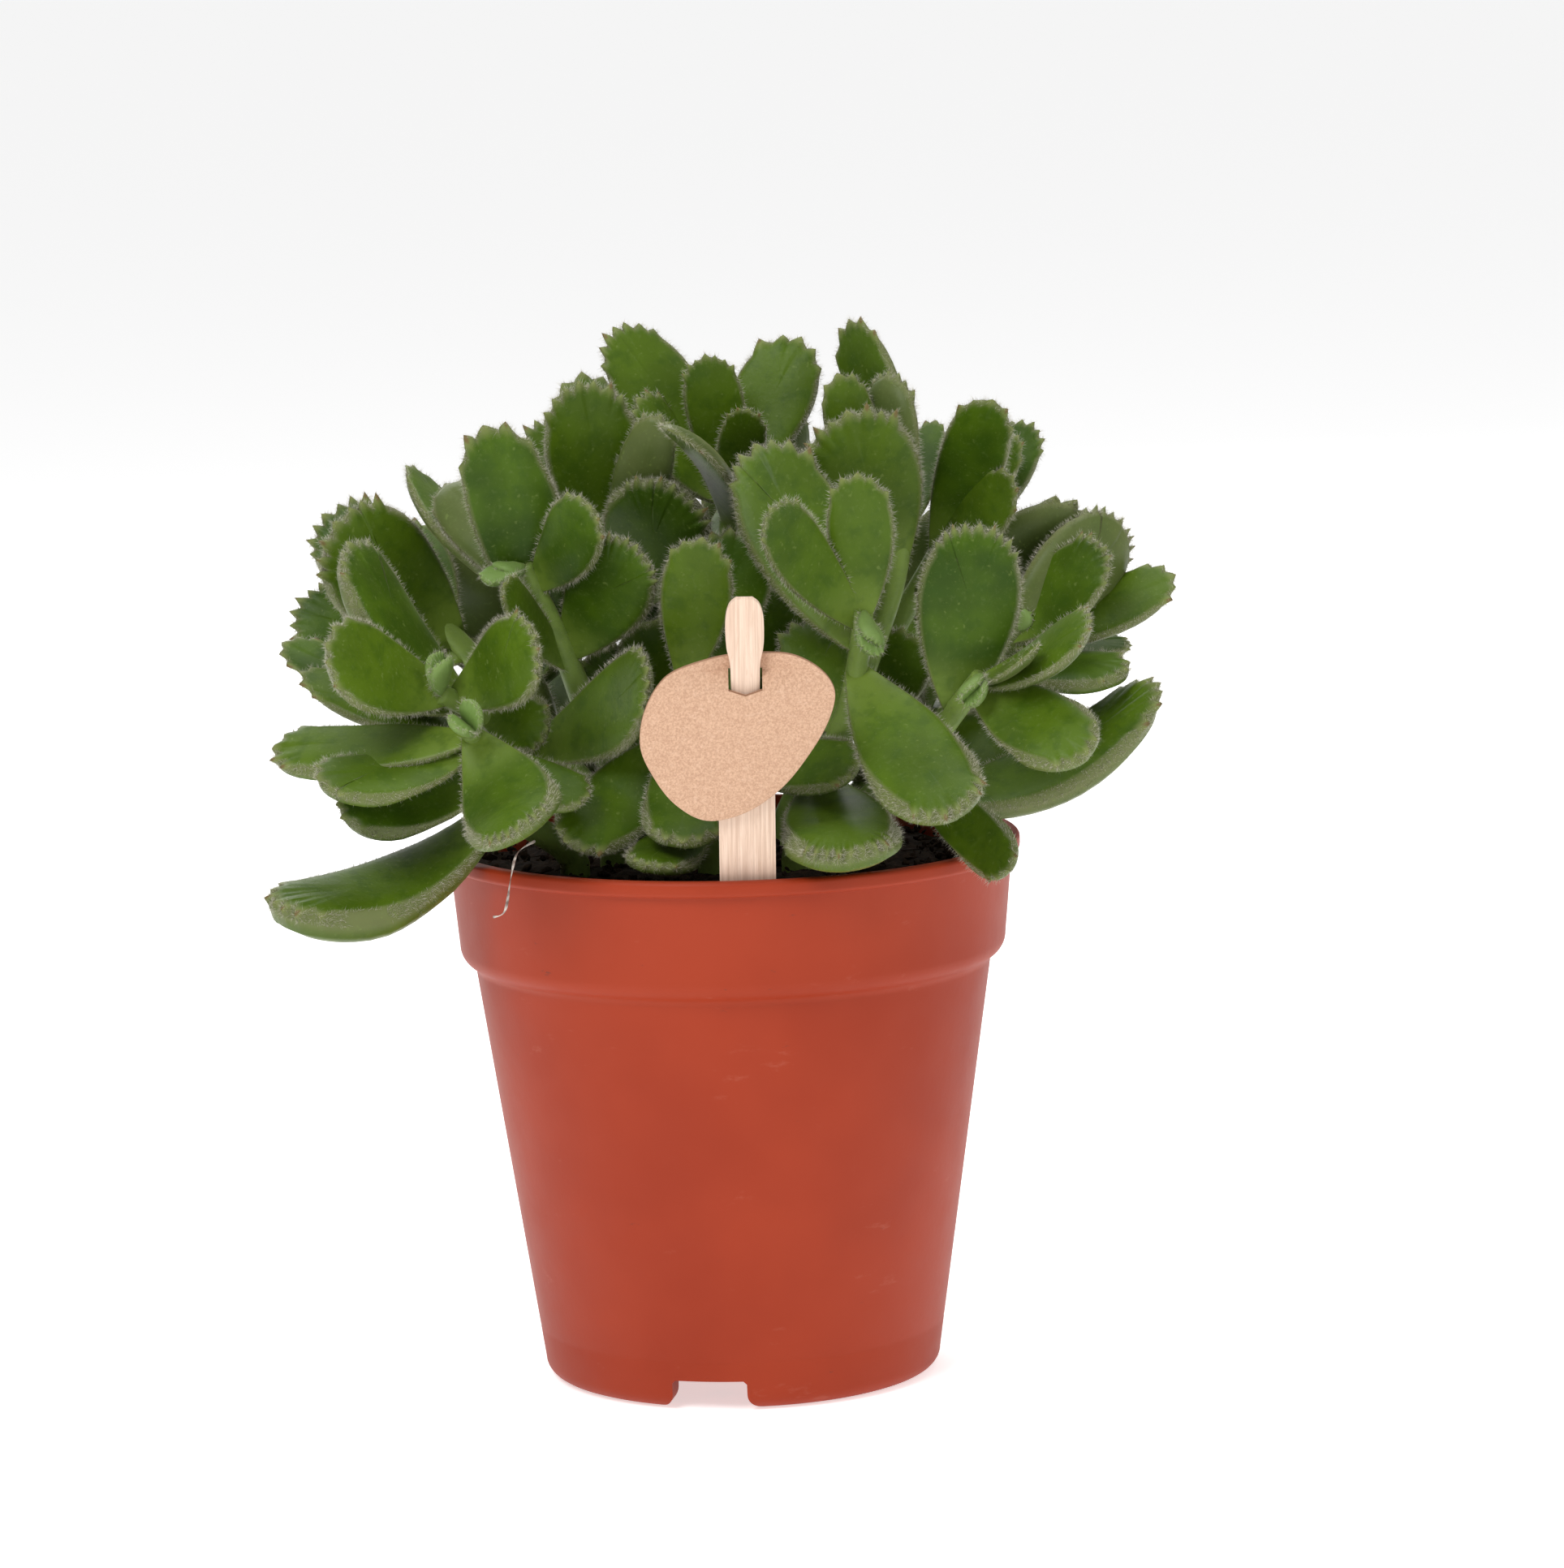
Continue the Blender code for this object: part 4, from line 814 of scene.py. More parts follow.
def turned(name, profile, sides):
    """A shape turned about the pot's axis from a closed profile of (radius, height) points."""
    points, faces, rows = [], [], []
    for radius, height in profile:
        if radius == 0:
            rows.append([len(points)])
            points.append((0, 0, height))
            continue
        rows.append(range(len(points), len(points) + sides))
        for k in range(sides):
            a = 2 * math.pi * k / sides
            points.append((radius * math.cos(a), radius * math.sin(a), height))
    for row, following in zip(rows, rows[1:] + rows[:1]):
        for k in range(sides):
            corners = [row[k % len(row)], row[(k + 1) % len(row)]]
            corners += [following[(k + 1) % len(following)], following[k % len(following)]]
            corners = list(dict.fromkeys(corners))
            if len(corners) > 2:
                faces.append(corners)
    return mesh_object(name, points, faces)


def slab(name, outline, front, back):
    """A flat outline of (x, height) points, given a thickness along Y."""
    count = len(outline)
    points = [(x, y, h) for y in (front, back) for x, h in outline]
    faces = [tuple(range(count)), tuple(range(count, 2 * count))[::-1]]
    for k in range(count):
        after = (k + 1) % count
        faces.append((k, k + count, after + count, after))
    return mesh_object(name, points, faces)


def arc(centre, radius, first, last, steps):
    """Points on an arc, by angle in degrees."""
    found = []
    for k in range(steps + 1):
        a = math.radians(first + (last - first) * k / steps)
        found.append((centre[0] + radius * math.cos(a), centre[1] + radius * math.sin(a)))
    return found


def cut(target, cutters):
    """Cuts the cutters from the target and removes them."""
    helpers = bpy.data.collections.new("helpers")
    for cutter in cutters:
        helpers.objects.link(cutter)
    modifier = target.modifiers.new("cut", "BOOLEAN")
    modifier.operation = "DIFFERENCE"
    modifier.operand_type = "COLLECTION"
    modifier.collection = helpers
    modifier.solver = "EXACT"
    bpy.context.view_layer.update()
    graph = bpy.context.evaluated_depsgraph_get()
    result = bpy.data.meshes.new_from_object(target.evaluated_get(graph))
    target.modifiers.clear()
    target.data = result
    for cutter in cutters:
        bpy.data.objects.remove(cutter)
    bpy.data.collections.remove(helpers)


def pot_profile():
    """The pot's wall, from the lip down its outside, under its floor, and up its inside."""
    collar_end = POT_HEIGHT - COLLAR_HEIGHT
    lip_foot = POT_HEIGHT - LIP_HEIGHT
    corner = (COLLAR_FOOT_RADIUS - COLLAR_CORNER, collar_end + COLLAR_CORNER)
    base = (BASE_RADIUS - BASE_CORNER, BASE_CORNER)
    slope = (BODY_TOP_RADIUS - BASE_RADIUS) / (collar_end - BASE_CORNER)
    outside = arc((LIP_RADIUS - LIP_ROUNDING, POT_HEIGHT - LIP_ROUNDING), LIP_ROUNDING, 90, 0, LIP_STEPS)
    outside += arc((LIP_RADIUS - LIP_ROUNDING, lip_foot + LIP_ROUNDING), LIP_ROUNDING, 0, LIP_TURN, LIP_STEPS)
    outside += [(COLLAR_TOP_RADIUS + out, lip_foot - down) for out, down in LIP_TUCK]
    outside += arc(corner, COLLAR_CORNER, 0, COLLAR_TURN, COLLAR_STEPS)
    fold = outside[-1]
    for share in FILLET_SHARES:
        inward = (fold[0] - BODY_TOP_RADIUS) * (1 - share) ** FILLET_SPREAD
        outside.append((BODY_TOP_RADIUS + inward, fold[1] - FILLET * share))
    for rise, depth in ((SEAM_HALF, 0), (0, SEAM_DEPTH), (-SEAM_HALF, 0)):
        height = SEAM_HEIGHT + rise
        outside.append((BASE_RADIUS + slope * (height - BASE_CORNER) - depth, height))
    outside += arc(base, BASE_CORNER, 0, -90, BASE_STEPS)
    inner_ring = BASE_RADIUS - BASE_CORNER - FOOT_WIDTH
    under = [(inner_ring, 0), (inner_ring - FLOOR_SLOPE, FLOOR_UNDER), (0, FLOOR_UNDER)]
    inside = [
        (0, FLOOR_TOP),
        (BASE_RADIUS - WALL, FLOOR_TOP),
        (BODY_TOP_RADIUS - WALL, collar_end - INSIDE_FOLD),
        (COLLAR_FOOT_RADIUS - WALL - INSIDE_STEP, collar_end + INSIDE_FOLD),
        (COLLAR_TOP_RADIUS - WALL, lip_foot),
        (COLLAR_TOP_RADIUS - WALL + INSIDE_FLARE / 2, POT_HEIGHT - INSIDE_STEP),
        (COLLAR_TOP_RADIUS - WALL + INSIDE_FLARE, POT_HEIGHT),
    ]
    return outside + under + inside


def make_pot():
    made = turned("pot_shell", pot_profile(), POT_SIDES)
    half = RECESS_WIDTH / 2
    wide = half + RECESS_FLARE
    outline = [(-wide, -RECESS_BELOW), (-wide, 0)]
    outline += arc((-wide, RECESS_FLARE), RECESS_FLARE, -90, 0, RECESS_STEPS)[1:]
    corner = [(half, RECESS_HEIGHT - RECESS_CHAMFER), (half - RECESS_CHAMFER, RECESS_HEIGHT)]
    outline += [(-x, height) for x, height in corner] + corner[::-1]
    outline += arc((wide, RECESS_FLARE), RECESS_FLARE, 180, 270, RECESS_STEPS)
    outline += [(wide, -RECESS_BELOW)]
    through = 2 * FLOOR_TOP
    bore = [(DRAIN_RADIUS, 0), (0, 0), (0, through), (DRAIN_RADIUS, through)]
    cutters = []
    for angle in RECESS_ANGLES:
        cutter = slab("recess", outline, -BASE_RADIUS - RECESS_OUTSIDE, -BASE_RADIUS + RECESS_DEPTH)
        cutter.rotation_euler.z = math.radians(angle)
        cutters.append(cutter)
        drain = turned("drain", bore, DRAIN_SIDES)
        drain.location = Matrix.Rotation(math.radians(angle), 3, "Z") @ Vector((0, -DRAIN_OUT * MM, 0))
        cutters.append(drain)
    cut(made, cutters)
    dress(made, pot_material(), POT_SHARP)
    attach(made, "root")
    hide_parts("pot")


def lumps(x, y, rng):
    """A gently rough height for each place, from a few waves in seeded directions."""
    height = np.zeros_like(x)
    for scale, size in SOIL_ROUGH:
        for _ in range(SOIL_WAVES):
            a, phase = rng.uniform(0, AROUND), rng.uniform(0, AROUND)
            height += size * np.sin((x * math.cos(a) + y * math.sin(a)) * scale + phase)
    return height


def crumb(rng, centre, size):
    """One angular crumb of soil: a small ball with its corners pulled about and flattened."""
    bm = bmesh.new()
    bmesh.ops.create_icosphere(bm, subdivisions=1, radius=1)
    stretch = np.array([rng.uniform(*part) for part in (CRUMB_WIDTH, CRUMB_WIDTH, CRUMB_FLAT)])
    angle = rng.uniform(0, AROUND)
    turn = Matrix.Rotation(angle, 3, Vector([rng.gauss(0, 1) for _ in range(3)]))
    points = []
    for corner in bm.verts:
        p = np.array(corner.co) * (1 + rng.uniform(-CRUMB_JITTER, CRUMB_JITTER)) * stretch * size
        points.append(centre + np.array(turn @ Vector(p)))
    faces = [[corner.index for corner in face.verts] for face in bm.faces]
    bm.free()
    return points, faces


def soil_ground(rng):
    """The soil's lumpy top and the wall it has inside the pot."""
    steps = np.linspace(0, 1, SOIL_RINGS + 1)[1:] ** SOIL_SPREAD
    a = np.linspace(0, 2 * math.pi, SOIL_SIDES, endpoint=False)
    x = np.outer(steps, np.cos(a)) * SOIL_EDGE
    y = np.outer(steps, np.sin(a)) * SOIL_EDGE
    z = SOIL_LEVEL + SOIL_MOUND * (1 - steps[:, None] ** 2) + lumps(x, y, rng)
    z = z - SOIL_DIP * steps[:, None] ** SOIL_DIP_SPREAD
    points = np.stack([x, y, z], axis=-1).reshape(-1, 3).tolist()
    faces = []
    for r in range(SOIL_RINGS - 1):
        faces += band(r * SOIL_SIDES, (r + 1) * SOIL_SIDES, SOIL_SIDES)
    points.append((0, 0, SOIL_LEVEL + SOIL_MOUND))
    faces += [(k, (k + 1) % SOIL_SIDES, len(points) - 1) for k in range(SOIL_SIDES)]
    edge = (SOIL_RINGS - 1) * SOIL_SIDES
    for radius, height in SOIL_WALL:
        start = len(points)
        points += [(radius * math.cos(k), radius * math.sin(k), height) for k in a]
        faces += band(edge, start, SOIL_SIDES)
        edge = start
    faces.append([edge + k for k in range(SOIL_SIDES)])
    return points, faces


def soil_crumb(rng):
    """A crumb somewhere on the soil."""
    out, turn = SOIL_EDGE * math.sqrt(rng.random()) - CRUMBS_INSIDE, rng.uniform(0, AROUND)
    size = CRUMB_SIZE[0] + (CRUMB_SIZE[1] - CRUMB_SIZE[0]) * rng.random() ** CRUMB_SPREAD
    at = (abs(out) * math.cos(turn), abs(out) * math.sin(turn))
    rise = SOIL_MOUND * (1 - (out / SOIL_EDGE) ** 2)
    centre = np.array((*at, SOIL_LEVEL + rise + rng.uniform(*CRUMB_RISE)))
    return crumb(rng, centre, size)


def soil_fibre(rng):
    """A short bent fibre that lies on the soil, or nothing where it would run into the pot."""
    starts_inside, ends_inside = SOIL_FIBRES_INSIDE
    out, turn = (SOIL_EDGE - starts_inside) * math.sqrt(rng.random()), rng.uniform(0, AROUND)
    heading = rng.uniform(0, AROUND)
    line = [np.array((out * math.cos(turn), out * math.sin(turn), SOIL_LEVEL + SOIL_MOUND))]
    for _ in range(SOIL_FIBRE_STEPS):
        heading += rng.gauss(0, SOIL_FIBRE_BENDS[0])
        ahead = np.array((math.cos(heading), math.sin(heading), rng.gauss(0, SOIL_FIBRE_BENDS[1])))
        line.append(line[-1] + ahead * SOIL_FIBRE_STEP)
    radius = rng.uniform(*SOIL_FIBRE_RADIUS)
    if np.hypot(*np.array(line).T[:2]).max() < SOIL_EDGE - ends_inside:
        points, faces = tube(line, [radius] * len(line), SOIL_FIBRE_SIDES)
        return points.tolist(), faces
    return [], []


def make_soil():
    rng = random.Random(SOIL_SEED)
    points, faces = soil_ground(rng)
    for piece in [soil_crumb] * CRUMBS + [soil_fibre] * SOIL_FIBRES:
        more, their_faces = piece(rng)
        faces += [[corner + len(points) for corner in face] for face in their_faces]
        points += more
    made = mesh_object("soil_fill", points, faces)
    dress(made, soil_material(), SOIL_SHARP)
    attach(made, "root")
    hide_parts("soil")


def on_tag(p):
    """From the label's own frame (x across, y back, height up the stick) to the pot's."""
    x, y, h = p
    lean = math.radians(STICK_LEAN)
    roll = math.radians(STICK_ROLL)
    x, h = x * math.cos(roll) + h * math.sin(roll), h * math.cos(roll) - x * math.sin(roll)
    return np.array(
        (
            STICK_AT[0] + x,
            STICK_AT[1] + y * math.cos(lean) - h * math.sin(lean),
            SOIL_LEVEL + h * math.cos(lean) + y * math.sin(lean),
        )
    )


def dress(made, material, sharp):
    """Gives a piece its material, smooth faces, and sharp edges from an angle in degrees on."""
    made.data.materials.clear()
    made.data.materials.append(material)
    made.data.shade_smooth()
    made.data.set_sharp_from_angle(angle=math.radians(sharp))


def bend_to_tag(made, shape):
    """Moves a flat piece's points to their places on the label, and keeps where they lay flat."""
    flat = [np.array(corner.co) / MM for corner in made.data.vertices]
    for corner, p in zip(made.data.vertices, flat):
        corner.co = Vector(shape(p)) * MM
    give(made, "flat", [(*p, 1.0) for p in flat])


def bevelled(made, width):
    """Rounds a piece's edges."""
    modifier = made.modifiers.new("bevel", "BEVEL")
    modifier.width = width * MM
    modifier.segments = BEVEL_STEPS
    modifier.limit_method = "ANGLE"
    modifier.angle_limit = math.radians(BEVEL_FROM)
    graph = bpy.context.evaluated_depsgraph_get()
    graph.update()
    result = bpy.data.meshes.new_from_object(made.evaluated_get(graph))
    made.modifiers.clear()
    made.data = result


def make_stick():
    edge = [np.array(STICK_POINT), *smooth_line(STICK_EDGE, STICK_STEPS)]
    outline = [(x, h) for x, h in edge] + [(-x, h) for x, h in edge[::-1]]
    made = slab("label_stick", outline, -STICK_THICKNESS / 2, STICK_THICKNESS / 2)
    bevelled(made, STICK_BEVEL)
    bend_to_tag(made, on_tag)
    dress(made, wood_material(), TAG_SHARP)
    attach(made, "root")
    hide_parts("tag_stick")


def card_bend(p):
    """The card lies in front of the stick, but its strip above the slit is pushed back behind it."""
    x, y, h = p
    across = math.exp(-((x / CARD_BOW_WIDTH) ** 2))
    back = CARD_BOW * float(smooth((h - SLIT_HEIGHT - CARD_BEND_FROM) / CARD_BEND_RISE)) * across
    front = -(STICK_THICKNESS / 2 + CARD_GAP + CARD_THICKNESS / 2)
    return on_tag(np.array((x, front + y + back, h)))


def make_card():
    """A bare kraft card, cut in a grid so that it bends smoothly, with a slit for the stick's neck."""
    outline = smooth_line(CARD_OUTLINE, CARD_STEPS, closed=True)
    made = slab("label_card", outline, -CARD_THICKNESS / 2, CARD_THICKNESS / 2)
    bevelled(made, CARD_BEVEL)
    half = NECK_WIDTH / 2 + CARD_GAP
    slit = [(-half, SLIT_HEIGHT), (0, SLIT_HEIGHT - SLIT_DIP), (half, SLIT_HEIGHT)]
    slit += [(half, SLIT_HEIGHT + SLIT_RISE), (-half, SLIT_HEIGHT + SLIT_RISE)]
    cut(made, [slab("slit", slit, -2 * CARD_THICKNESS, 2 * CARD_THICKNESS)])
    bm = bmesh.new()
    bm.from_mesh(made.data)
    for normal, place in (((0, 0, 1), CARD_LOW), ((1, 0, 0), CARD_LEFT)):
        while place < CARD_HIGH:
            parts = bm.verts[:] + bm.edges[:] + bm.faces[:]
            co = Vector(normal) * place * MM
            bmesh.ops.bisect_plane(bm, geom=parts, plane_co=co, plane_no=normal)
            place += CARD_GRID
    bmesh.ops.triangulate(bm, faces=bm.faces)
    bm.to_mesh(made.data)
    bm.free()
    bend_to_tag(made, card_bend)
    dress(made, card_material(), TAG_SHARP)
    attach(made, "root")
    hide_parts("tag_card")


def make_fibre():
    line = smooth_line([seen(*p) for p in FIBRE], FIBRE_STEPS)
    waves = [1 - FIBRE_UNEVEN + FIBRE_UNEVEN * math.sin(1 + FIBRE_WAVE * k) for k in range(len(line))]
    radii = [FIBRE_RADIUS * wave + FIBRE_LEAST for wave in waves]
    made = mesh_object("dry_fibre", *tube(line, radii, FIBRE_SIDES))
    made.data.materials.append(fibre_material())
    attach(made, "root")


# Colours, as linear red, green and blue
LEAF_GREENS = ((0.026, 0.060, 0.001), (0.060, 0.118, 0.003))
UNDER_GREENS = ((0.066, 0.096, 0.020), (0.108, 0.136, 0.038))
LIGHTER_GREEN = (0.098, 0.162, 0.007)
STALK_GREEN = (0.140, 0.210, 0.028)
MOTTLE_GREEN = (0.025, 0.066, 0.002)
# Pale band along the leaves' margins and on the stems: the hair fringe's own colour, with painted sheen
MARGIN_FUZZ_AND_SHEEN = (0.190, 0.200, 0.090)
TOOTH_GREEN = (0.230, 0.260, 0.080)
TOOTH_BROWN = (0.150, 0.080, 0.035)
BUD_GREEN = (0.190, 0.300, 0.080)
FUR_GREEN = (0.150, 0.210, 0.060)
SPECK_GREEN = (0.180, 0.240, 0.060)
SHEEN = (0.78, 0.68, 0.38)
DOWN_WHITES = ((0.46, 0.43, 0.32), (0.74, 0.70, 0.58))
DOWN_GREEN = (0.10, 0.15, 0.02)
POT_REDS = ((0.290, 0.029, 0.007), (0.335, 0.037, 0.010))
SCUFF = (0.44, 0.12, 0.08)
GRIME = (0.12, 0.03, 0.02)
SOIL_BROWNS = ((0.006, 0.0035, 0.0025), (0.042, 0.024, 0.015))
WOODS = ((0.62, 0.44, 0.33), (0.82, 0.63, 0.50))
WOOD_RAY = (0.56, 0.36, 0.24)
KRAFTS = ((0.45, 0.265, 0.17), (0.66, 0.43, 0.295))
KRAFT_FIBRE = (0.72, 0.50, 0.37)
# Painted shade: a darker brown on the card's cut edges, as its shadowed lower edge looks
KRAFT_EDGE_SHADE = (0.24, 0.12, 0.065)
FIBRE_GREYS = ((0.16, 0.10, 0.08), (0.62, 0.56, 0.50))
WHITE = (1, 1, 1)
FLOOR_WHITE = (0.92, 0.92, 0.92)


class Nodes:
    """A material's node tree, with short ways to add the nodes that these materials use."""

    def __init__(self, name):
        self.material = bpy.data.materials.new(name)
        self.material.use_nodes = True
        self.tree = self.material.node_tree
        self.shader = self.tree.nodes["Principled BSDF"]

    def add(self, kind, **settings):
        node = self.tree.nodes.new("ShaderNode" + kind)
        for key, value in settings.items():
            setattr(node, key, value)
        return node

    def link(self, source, target):
        self.tree.links.new(source, target)

    def place(self, scale=(1, 1, 1), attribute=None):
        """Object coordinates in metres, or a kept attribute, scaled."""
        if attribute:
            source = self.add("Attribute", attribute_name=attribute).outputs["Vector"]
        else:
            source = self.add("TexCoord").outputs["Object"]
        mapping = self.add("Mapping")
        mapping.inputs["Scale"].default_value = scale
        self.link(source, mapping.inputs["Vector"])
        return mapping.outputs["Vector"]

    def noise(self, vector, scale, detail=3.0, roughness=0.55):
        node = self.add("TexNoise")
        node.inputs["Scale"].default_value = scale
        node.inputs["Detail"].default_value = detail
        node.inputs["Roughness"].default_value = roughness
        self.link(vector, node.inputs["Vector"])
        return node.outputs["Fac"]

    def ramp(self, source, low, high):
        """0 below low, 1 above high."""
        node = self.add("MapRange", interpolation_type="SMOOTHSTEP")
        node.inputs["From Min"].default_value = low
        node.inputs["From Max"].default_value = high
        self.link(source, node.inputs["Value"])
        return node.outputs["Result"]

    def mix(self, share, a, b):
        """Colour a where share is 0 and b where it is 1."""
        node = self.add("Mix", data_type="RGBA")
        self.feed(share, node.inputs["Factor"])
        self.feed(a, node.inputs["A"])
        self.feed(b, node.inputs["B"])
        return node.outputs["Result"]

    def over(self, colour, share, strength, other):
        """A colour with another over it, as far as share times strength."""
        return self.mix(self.math("MULTIPLY", share, strength), colour, other)

    def feed(self, value, target):
        if isinstance(value, bpy.types.NodeSocket):
            self.link(value, target)
        elif isinstance(value, tuple):
            target.default_value = (*value, 1)
        else:
            target.default_value = value

    def math(self, operation, a, b):
        node = self.add("Math", operation=operation)
        self.feed(a, node.inputs[0])
        self.feed(b, node.inputs[1])
        return node.outputs[0]

    def parts(self, attribute):
        """The four numbers kept under a name."""
        node = self.add("Attribute", attribute_name=attribute)
        split = self.add("SeparateColor")
        self.link(node.outputs["Color"], split.inputs["Color"])
        return (*split.outputs, node.outputs["Alpha"])

    def bump(self, height, distance, strength=1.0):
        node = self.add("Bump")
        node.inputs["Distance"].default_value = distance * MM
        node.inputs["Strength"].default_value = strength
        self.link(height, node.inputs["Height"])
        self.link(node.outputs["Normal"], self.shader.inputs["Normal"])

    def set(self, **values):
        for name, value in values.items():
            self.feed(value, self.shader.inputs[name.replace("_", " ")])


def leaf_material():
    n = Nodes("leaf_green")
    rim, tooth, under, along_leaf = n.parts("form")
    tint, bud, hanging, _ = n.parts("tint")
    place = n.place()
    broad = n.noise(place, 90, 2)
    fine = n.noise(place, 1400, 3)
    mottle = n.ramp(n.noise(place, 380, 3), 0.45, 0.7)
    upper = n.mix(n.ramp(broad, 0.35, 0.68), *LEAF_GREENS)
    upper = n.over(upper, tint, 0.6, LIGHTER_GREEN)
    upper = n.mix(n.ramp(along_leaf, 0.40, 0.0), upper, STALK_GREEN)
    upper = n.over(upper, mottle, 0.4, MOTTLE_GREEN)
    lower = n.mix(n.ramp(broad, 0.3, 0.7), *UNDER_GREENS)
    lower = n.over(lower, hanging, 0.65, upper)
    colour = n.mix(under, upper, lower)
    for share, strength, other in (
        # pale band along the margins: the hair fringe's colour and painted sheen
        (n.ramp(rim, 0.90, 1.0), 0.6, MARGIN_FUZZ_AND_SHEEN),
        (n.ramp(tooth, 0.3, 0.9), 0.45, TOOTH_GREEN),
        (n.ramp(tooth, 0.85, 1.1), 0.7, TOOTH_BROWN),
        (bud, 0.7, BUD_GREEN),
        (n.ramp(fine, 0.52, 0.8), 0.25, FUR_GREEN),
        (n.ramp(n.noise(place, 1100, 1), 0.69, 0.77), 0.35, SPECK_GREEN),
    ):
        colour = n.over(colour, share, strength, other)
    n.set(Base_Color=colour, Roughness=0.42, Sheen_Weight=0.10, Sheen_Roughness=0.30)
    n.set(Sheen_Tint=SHEEN, Specular_IOR_Level=0.18)
    n.bump(fine, 0.08, 0.45)
    return n.material


def down_material():
    n = Nodes("leaf_down")
    pale = n.mix(n.noise(n.place(), 500, 1), *DOWN_WHITES)
    n.set(Base_Color=n.mix(n.parts("form")[0], DOWN_GREEN, pale), Roughness=0.7)
    return n.material


def pot_material():
    n = Nodes("pot_plastic")
    place = n.place()
    broad = n.noise(place, 28, 3)
    cloud = n.noise(place, 160, 4, 0.65)
    colour = n.mix(n.ramp(broad, 0.3, 0.7), *POT_REDS)
    scuffs = n.noise(n.place((1, 1, 2.6)), 95, 5, 0.7)
    colour = n.over(colour, n.ramp(scuffs, 0.62, 0.76), 0.32, SCUFF)
    grime = n.noise(n.place((1, 1, 3)), 240, 4, 0.7)
    colour = n.over(colour, n.ramp(grime, 0.69, 0.75), 0.6, GRIME)
    n.set(Base_Color=colour, Roughness=n.mix(cloud, (0.44,) * 3, (0.58,) * 3), Specular_IOR_Level=0.20)
    n.bump(n.noise(place, 900, 4, 0.6), 0.035, 0.6)
    return n.material


def soil_material():
    n = Nodes("potting_soil")
    place = n.place()
    grain = n.noise(place, 700, 5, 0.7)
    colour = n.mix(n.ramp(grain, 0.3, 0.75), *SOIL_BROWNS)
    n.set(Base_Color=colour, Roughness=1.0, Specular_IOR_Level=0.15)
    n.bump(grain, 0.5)
    return n.material


def wood_material():
    n = Nodes("pale_wood")
    grain = n.noise(n.place((2.8, 0.3, 0.07), "flat"), 1.0, 4, 0.6)
    rays = n.noise(n.place((7.0, 0.9, 0.5), "flat"), 1.0, 2)
    colour = n.mix(n.ramp(grain, 0.3, 0.7), *WOODS)
    colour = n.over(colour, n.ramp(rays, 0.55, 0.75), 0.4, WOOD_RAY)
    n.set(Base_Color=colour, Roughness=0.75, Specular_IOR_Level=0.25)
    n.bump(grain, 0.06, 0.5)
    return n.material


def card_material():
    n = Nodes("kraft_card")
    place = n.place(attribute="flat")
    speckle = n.noise(place, 3.6, 4, 0.75)
    fibre = n.noise(n.place((1, 1, 1.6), "flat"), 1.1, 4, 0.6)
    colour = n.mix(n.ramp(speckle, 0.3, 0.7), *KRAFTS)
    colour = n.over(colour, n.ramp(fibre, 0.55, 0.75), 0.4, KRAFT_FIBRE)
    # Painted shade: the card's cut edges are darkened
    split = n.add("SeparateXYZ")
    n.link(place, split.inputs["Vector"])
    deep = n.math("ABSOLUTE", split.outputs["Y"], 0)
    edge = n.ramp(deep, CARD_THICKNESS / 2, CARD_THICKNESS / 2 - CARD_BEVEL)
    colour = n.over(colour, edge, 0.75, KRAFT_EDGE_SHADE)
    n.set(Base_Color=colour, Roughness=0.9, Specular_IOR_Level=0.2)
    n.bump(speckle, 0.05, 0.6)
    return n.material


def fibre_material():
    n = Nodes("dry_fibre")
    shade = n.noise(n.place(), 700, 3)
    n.set(Base_Color=n.mix(n.ramp(shade, 0.35, 0.65), *FIBRE_GREYS), Roughness=0.8)
    return n.material


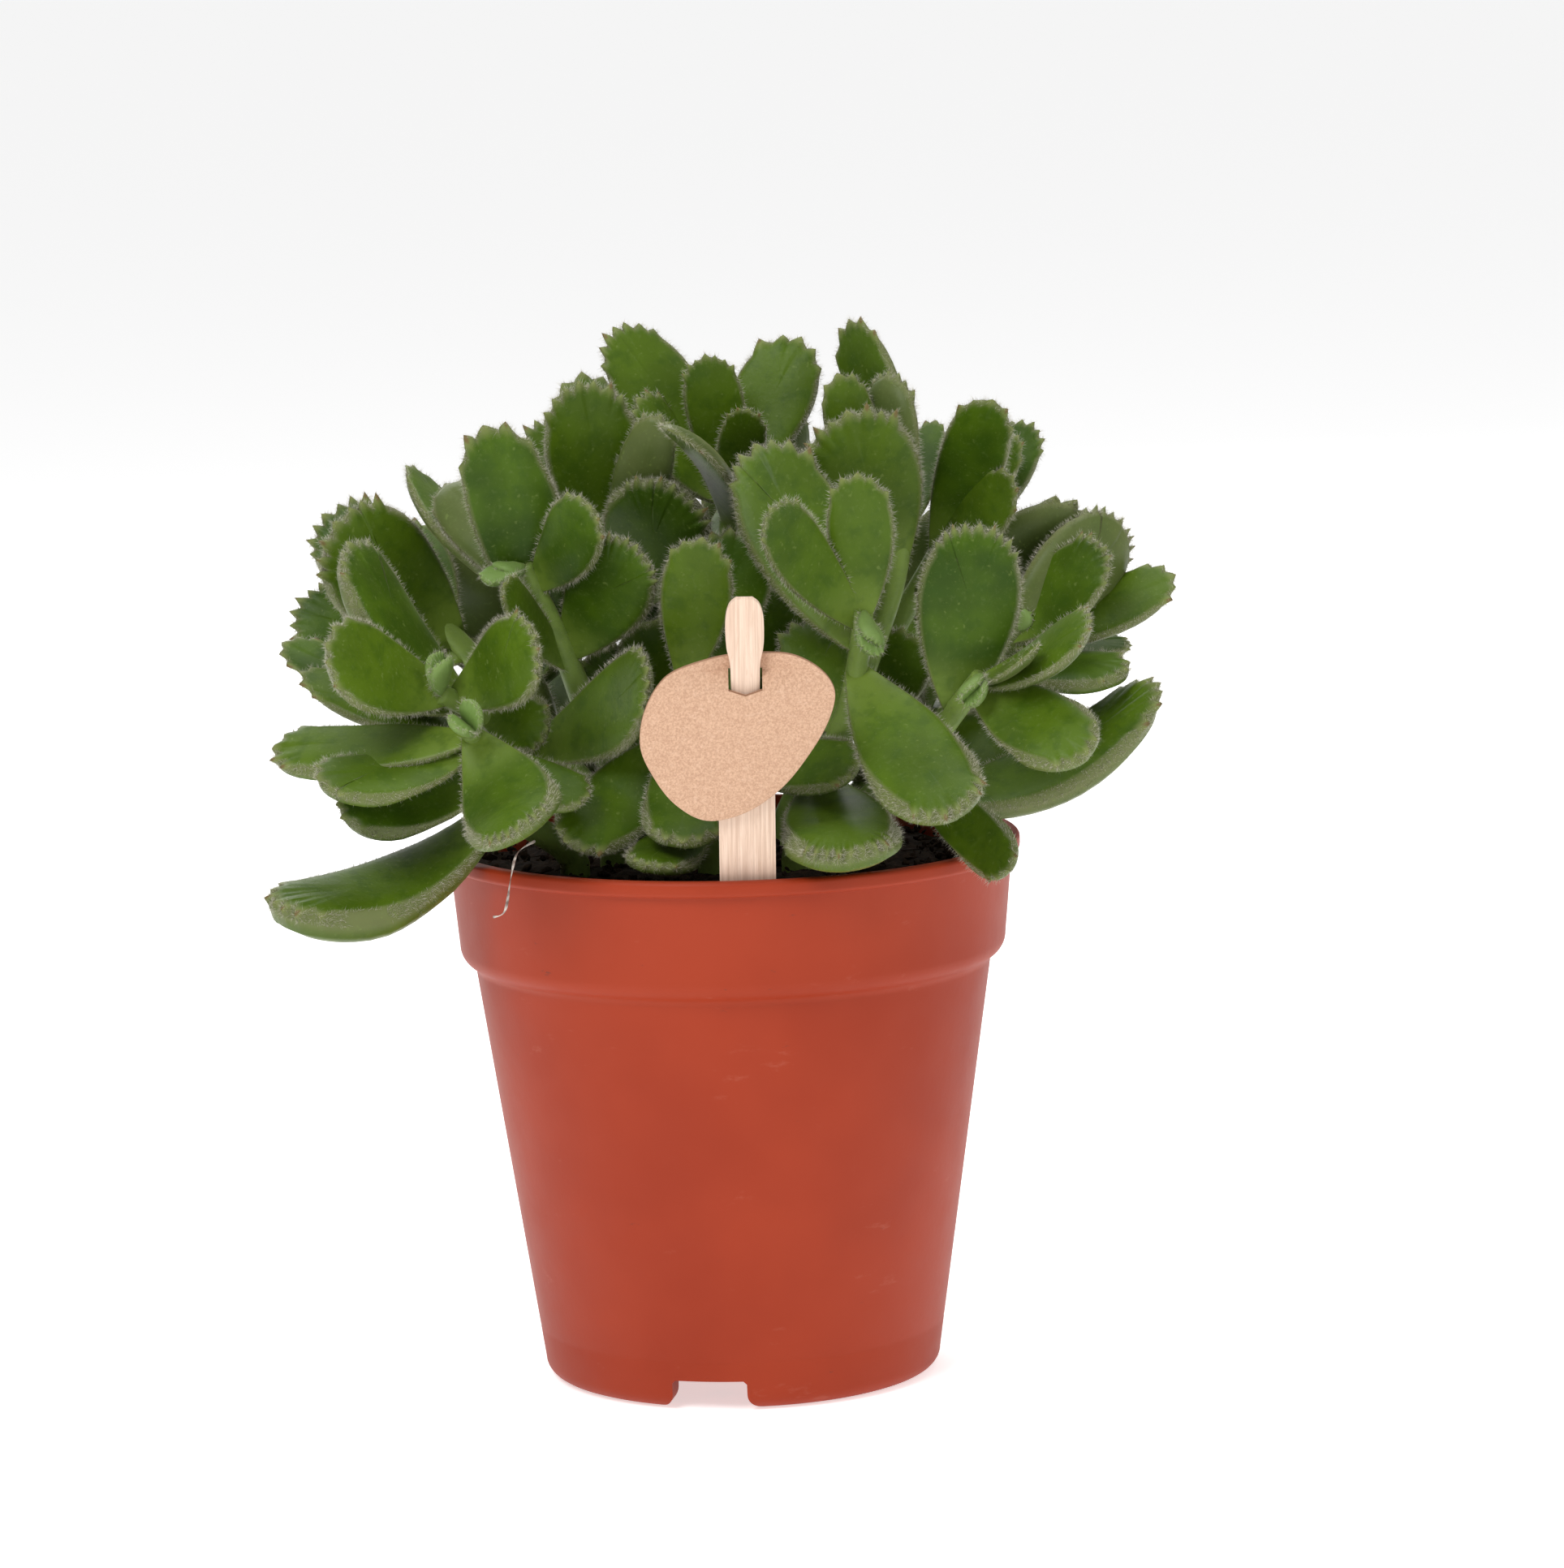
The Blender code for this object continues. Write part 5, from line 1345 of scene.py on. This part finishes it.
def make_stage():
    bpy.ops.mesh.primitive_plane_add(size=FLOOR_SIZE, location=(0, 0, FLOOR_BELOW))
    floor = bpy.context.object
    floor.name = "studio_floor"
    n = Nodes("studio_floor")
    n.set(Base_Color=FLOOR_WHITE, Roughness=0.9, Emission_Color=WHITE)
    n.set(Emission_Strength=FLOOR_GLOW)
    floor.data.materials.append(n.material)
    world = bpy.data.worlds.new("studio")
    world.use_nodes = True
    sky = world.node_tree.nodes["Background"].inputs
    sky["Color"].default_value = (*WHITE, 1)
    sky["Strength"].default_value = WORLD_STRENGTH
    bpy.context.scene.world = world
    for name, place, size, power in LAMPS:
        light = bpy.data.lights.new(name, "AREA")
        light.energy = power
        light.size = size
        lamp = bpy.data.objects.new(name, light)
        bpy.context.scene.collection.objects.link(lamp)
        lamp.location = place
        aim = Vector(LAMPS_AIM) - lamp.location
        lamp.rotation_euler = aim.to_track_quat("-Z", "Y").to_euler()
    bpy.context.scene.view_settings.view_transform = "Standard"


def make_camera():
    camera = bpy.data.cameras.new("view")
    camera.lens = CAMERA_LENS
    camera.sensor_width = CAMERA_SENSOR
    camera.clip_start = CAMERA_NEAR
    made = bpy.data.objects.new("view", camera)
    bpy.context.scene.collection.objects.link(made)
    yaw, pitch, roll = (math.radians(a) for a in (CAMERA_YAW, CAMERA_PITCH, CAMERA_ROLL))
    forward = Vector((math.sin(yaw) * math.cos(pitch), math.cos(yaw) * math.cos(pitch), -math.sin(pitch)))
    right = forward.cross(Vector((0, 0, 1))).normalized()
    up = right.cross(forward)
    turned_right = math.cos(roll) * right - math.sin(roll) * up
    turned_up = math.sin(roll) * right + math.cos(roll) * up
    made.matrix_world = Matrix.LocRotScale(
        Vector((0, -EYE_BACK, EYE_UP)) * MM,
        Matrix((turned_right, turned_up, -forward)).transposed(),
        None,
    )
    bpy.context.scene.camera = made


make_stage()
make_camera()
make_pot()
make_soil()
make_stick()
make_card()
make_fibre()
shoots = dict(SHOOTS)
for k, plan in enumerate(BACK_SHOOTS):
    shoots[f"shoot_back_{k + 1}"] = grown(*plan)
green, white = leaf_material(), down_material()
for name, sh in shoots.items():
    make_shoot(name, sh, green, white)

bpy.context.view_layer.update()
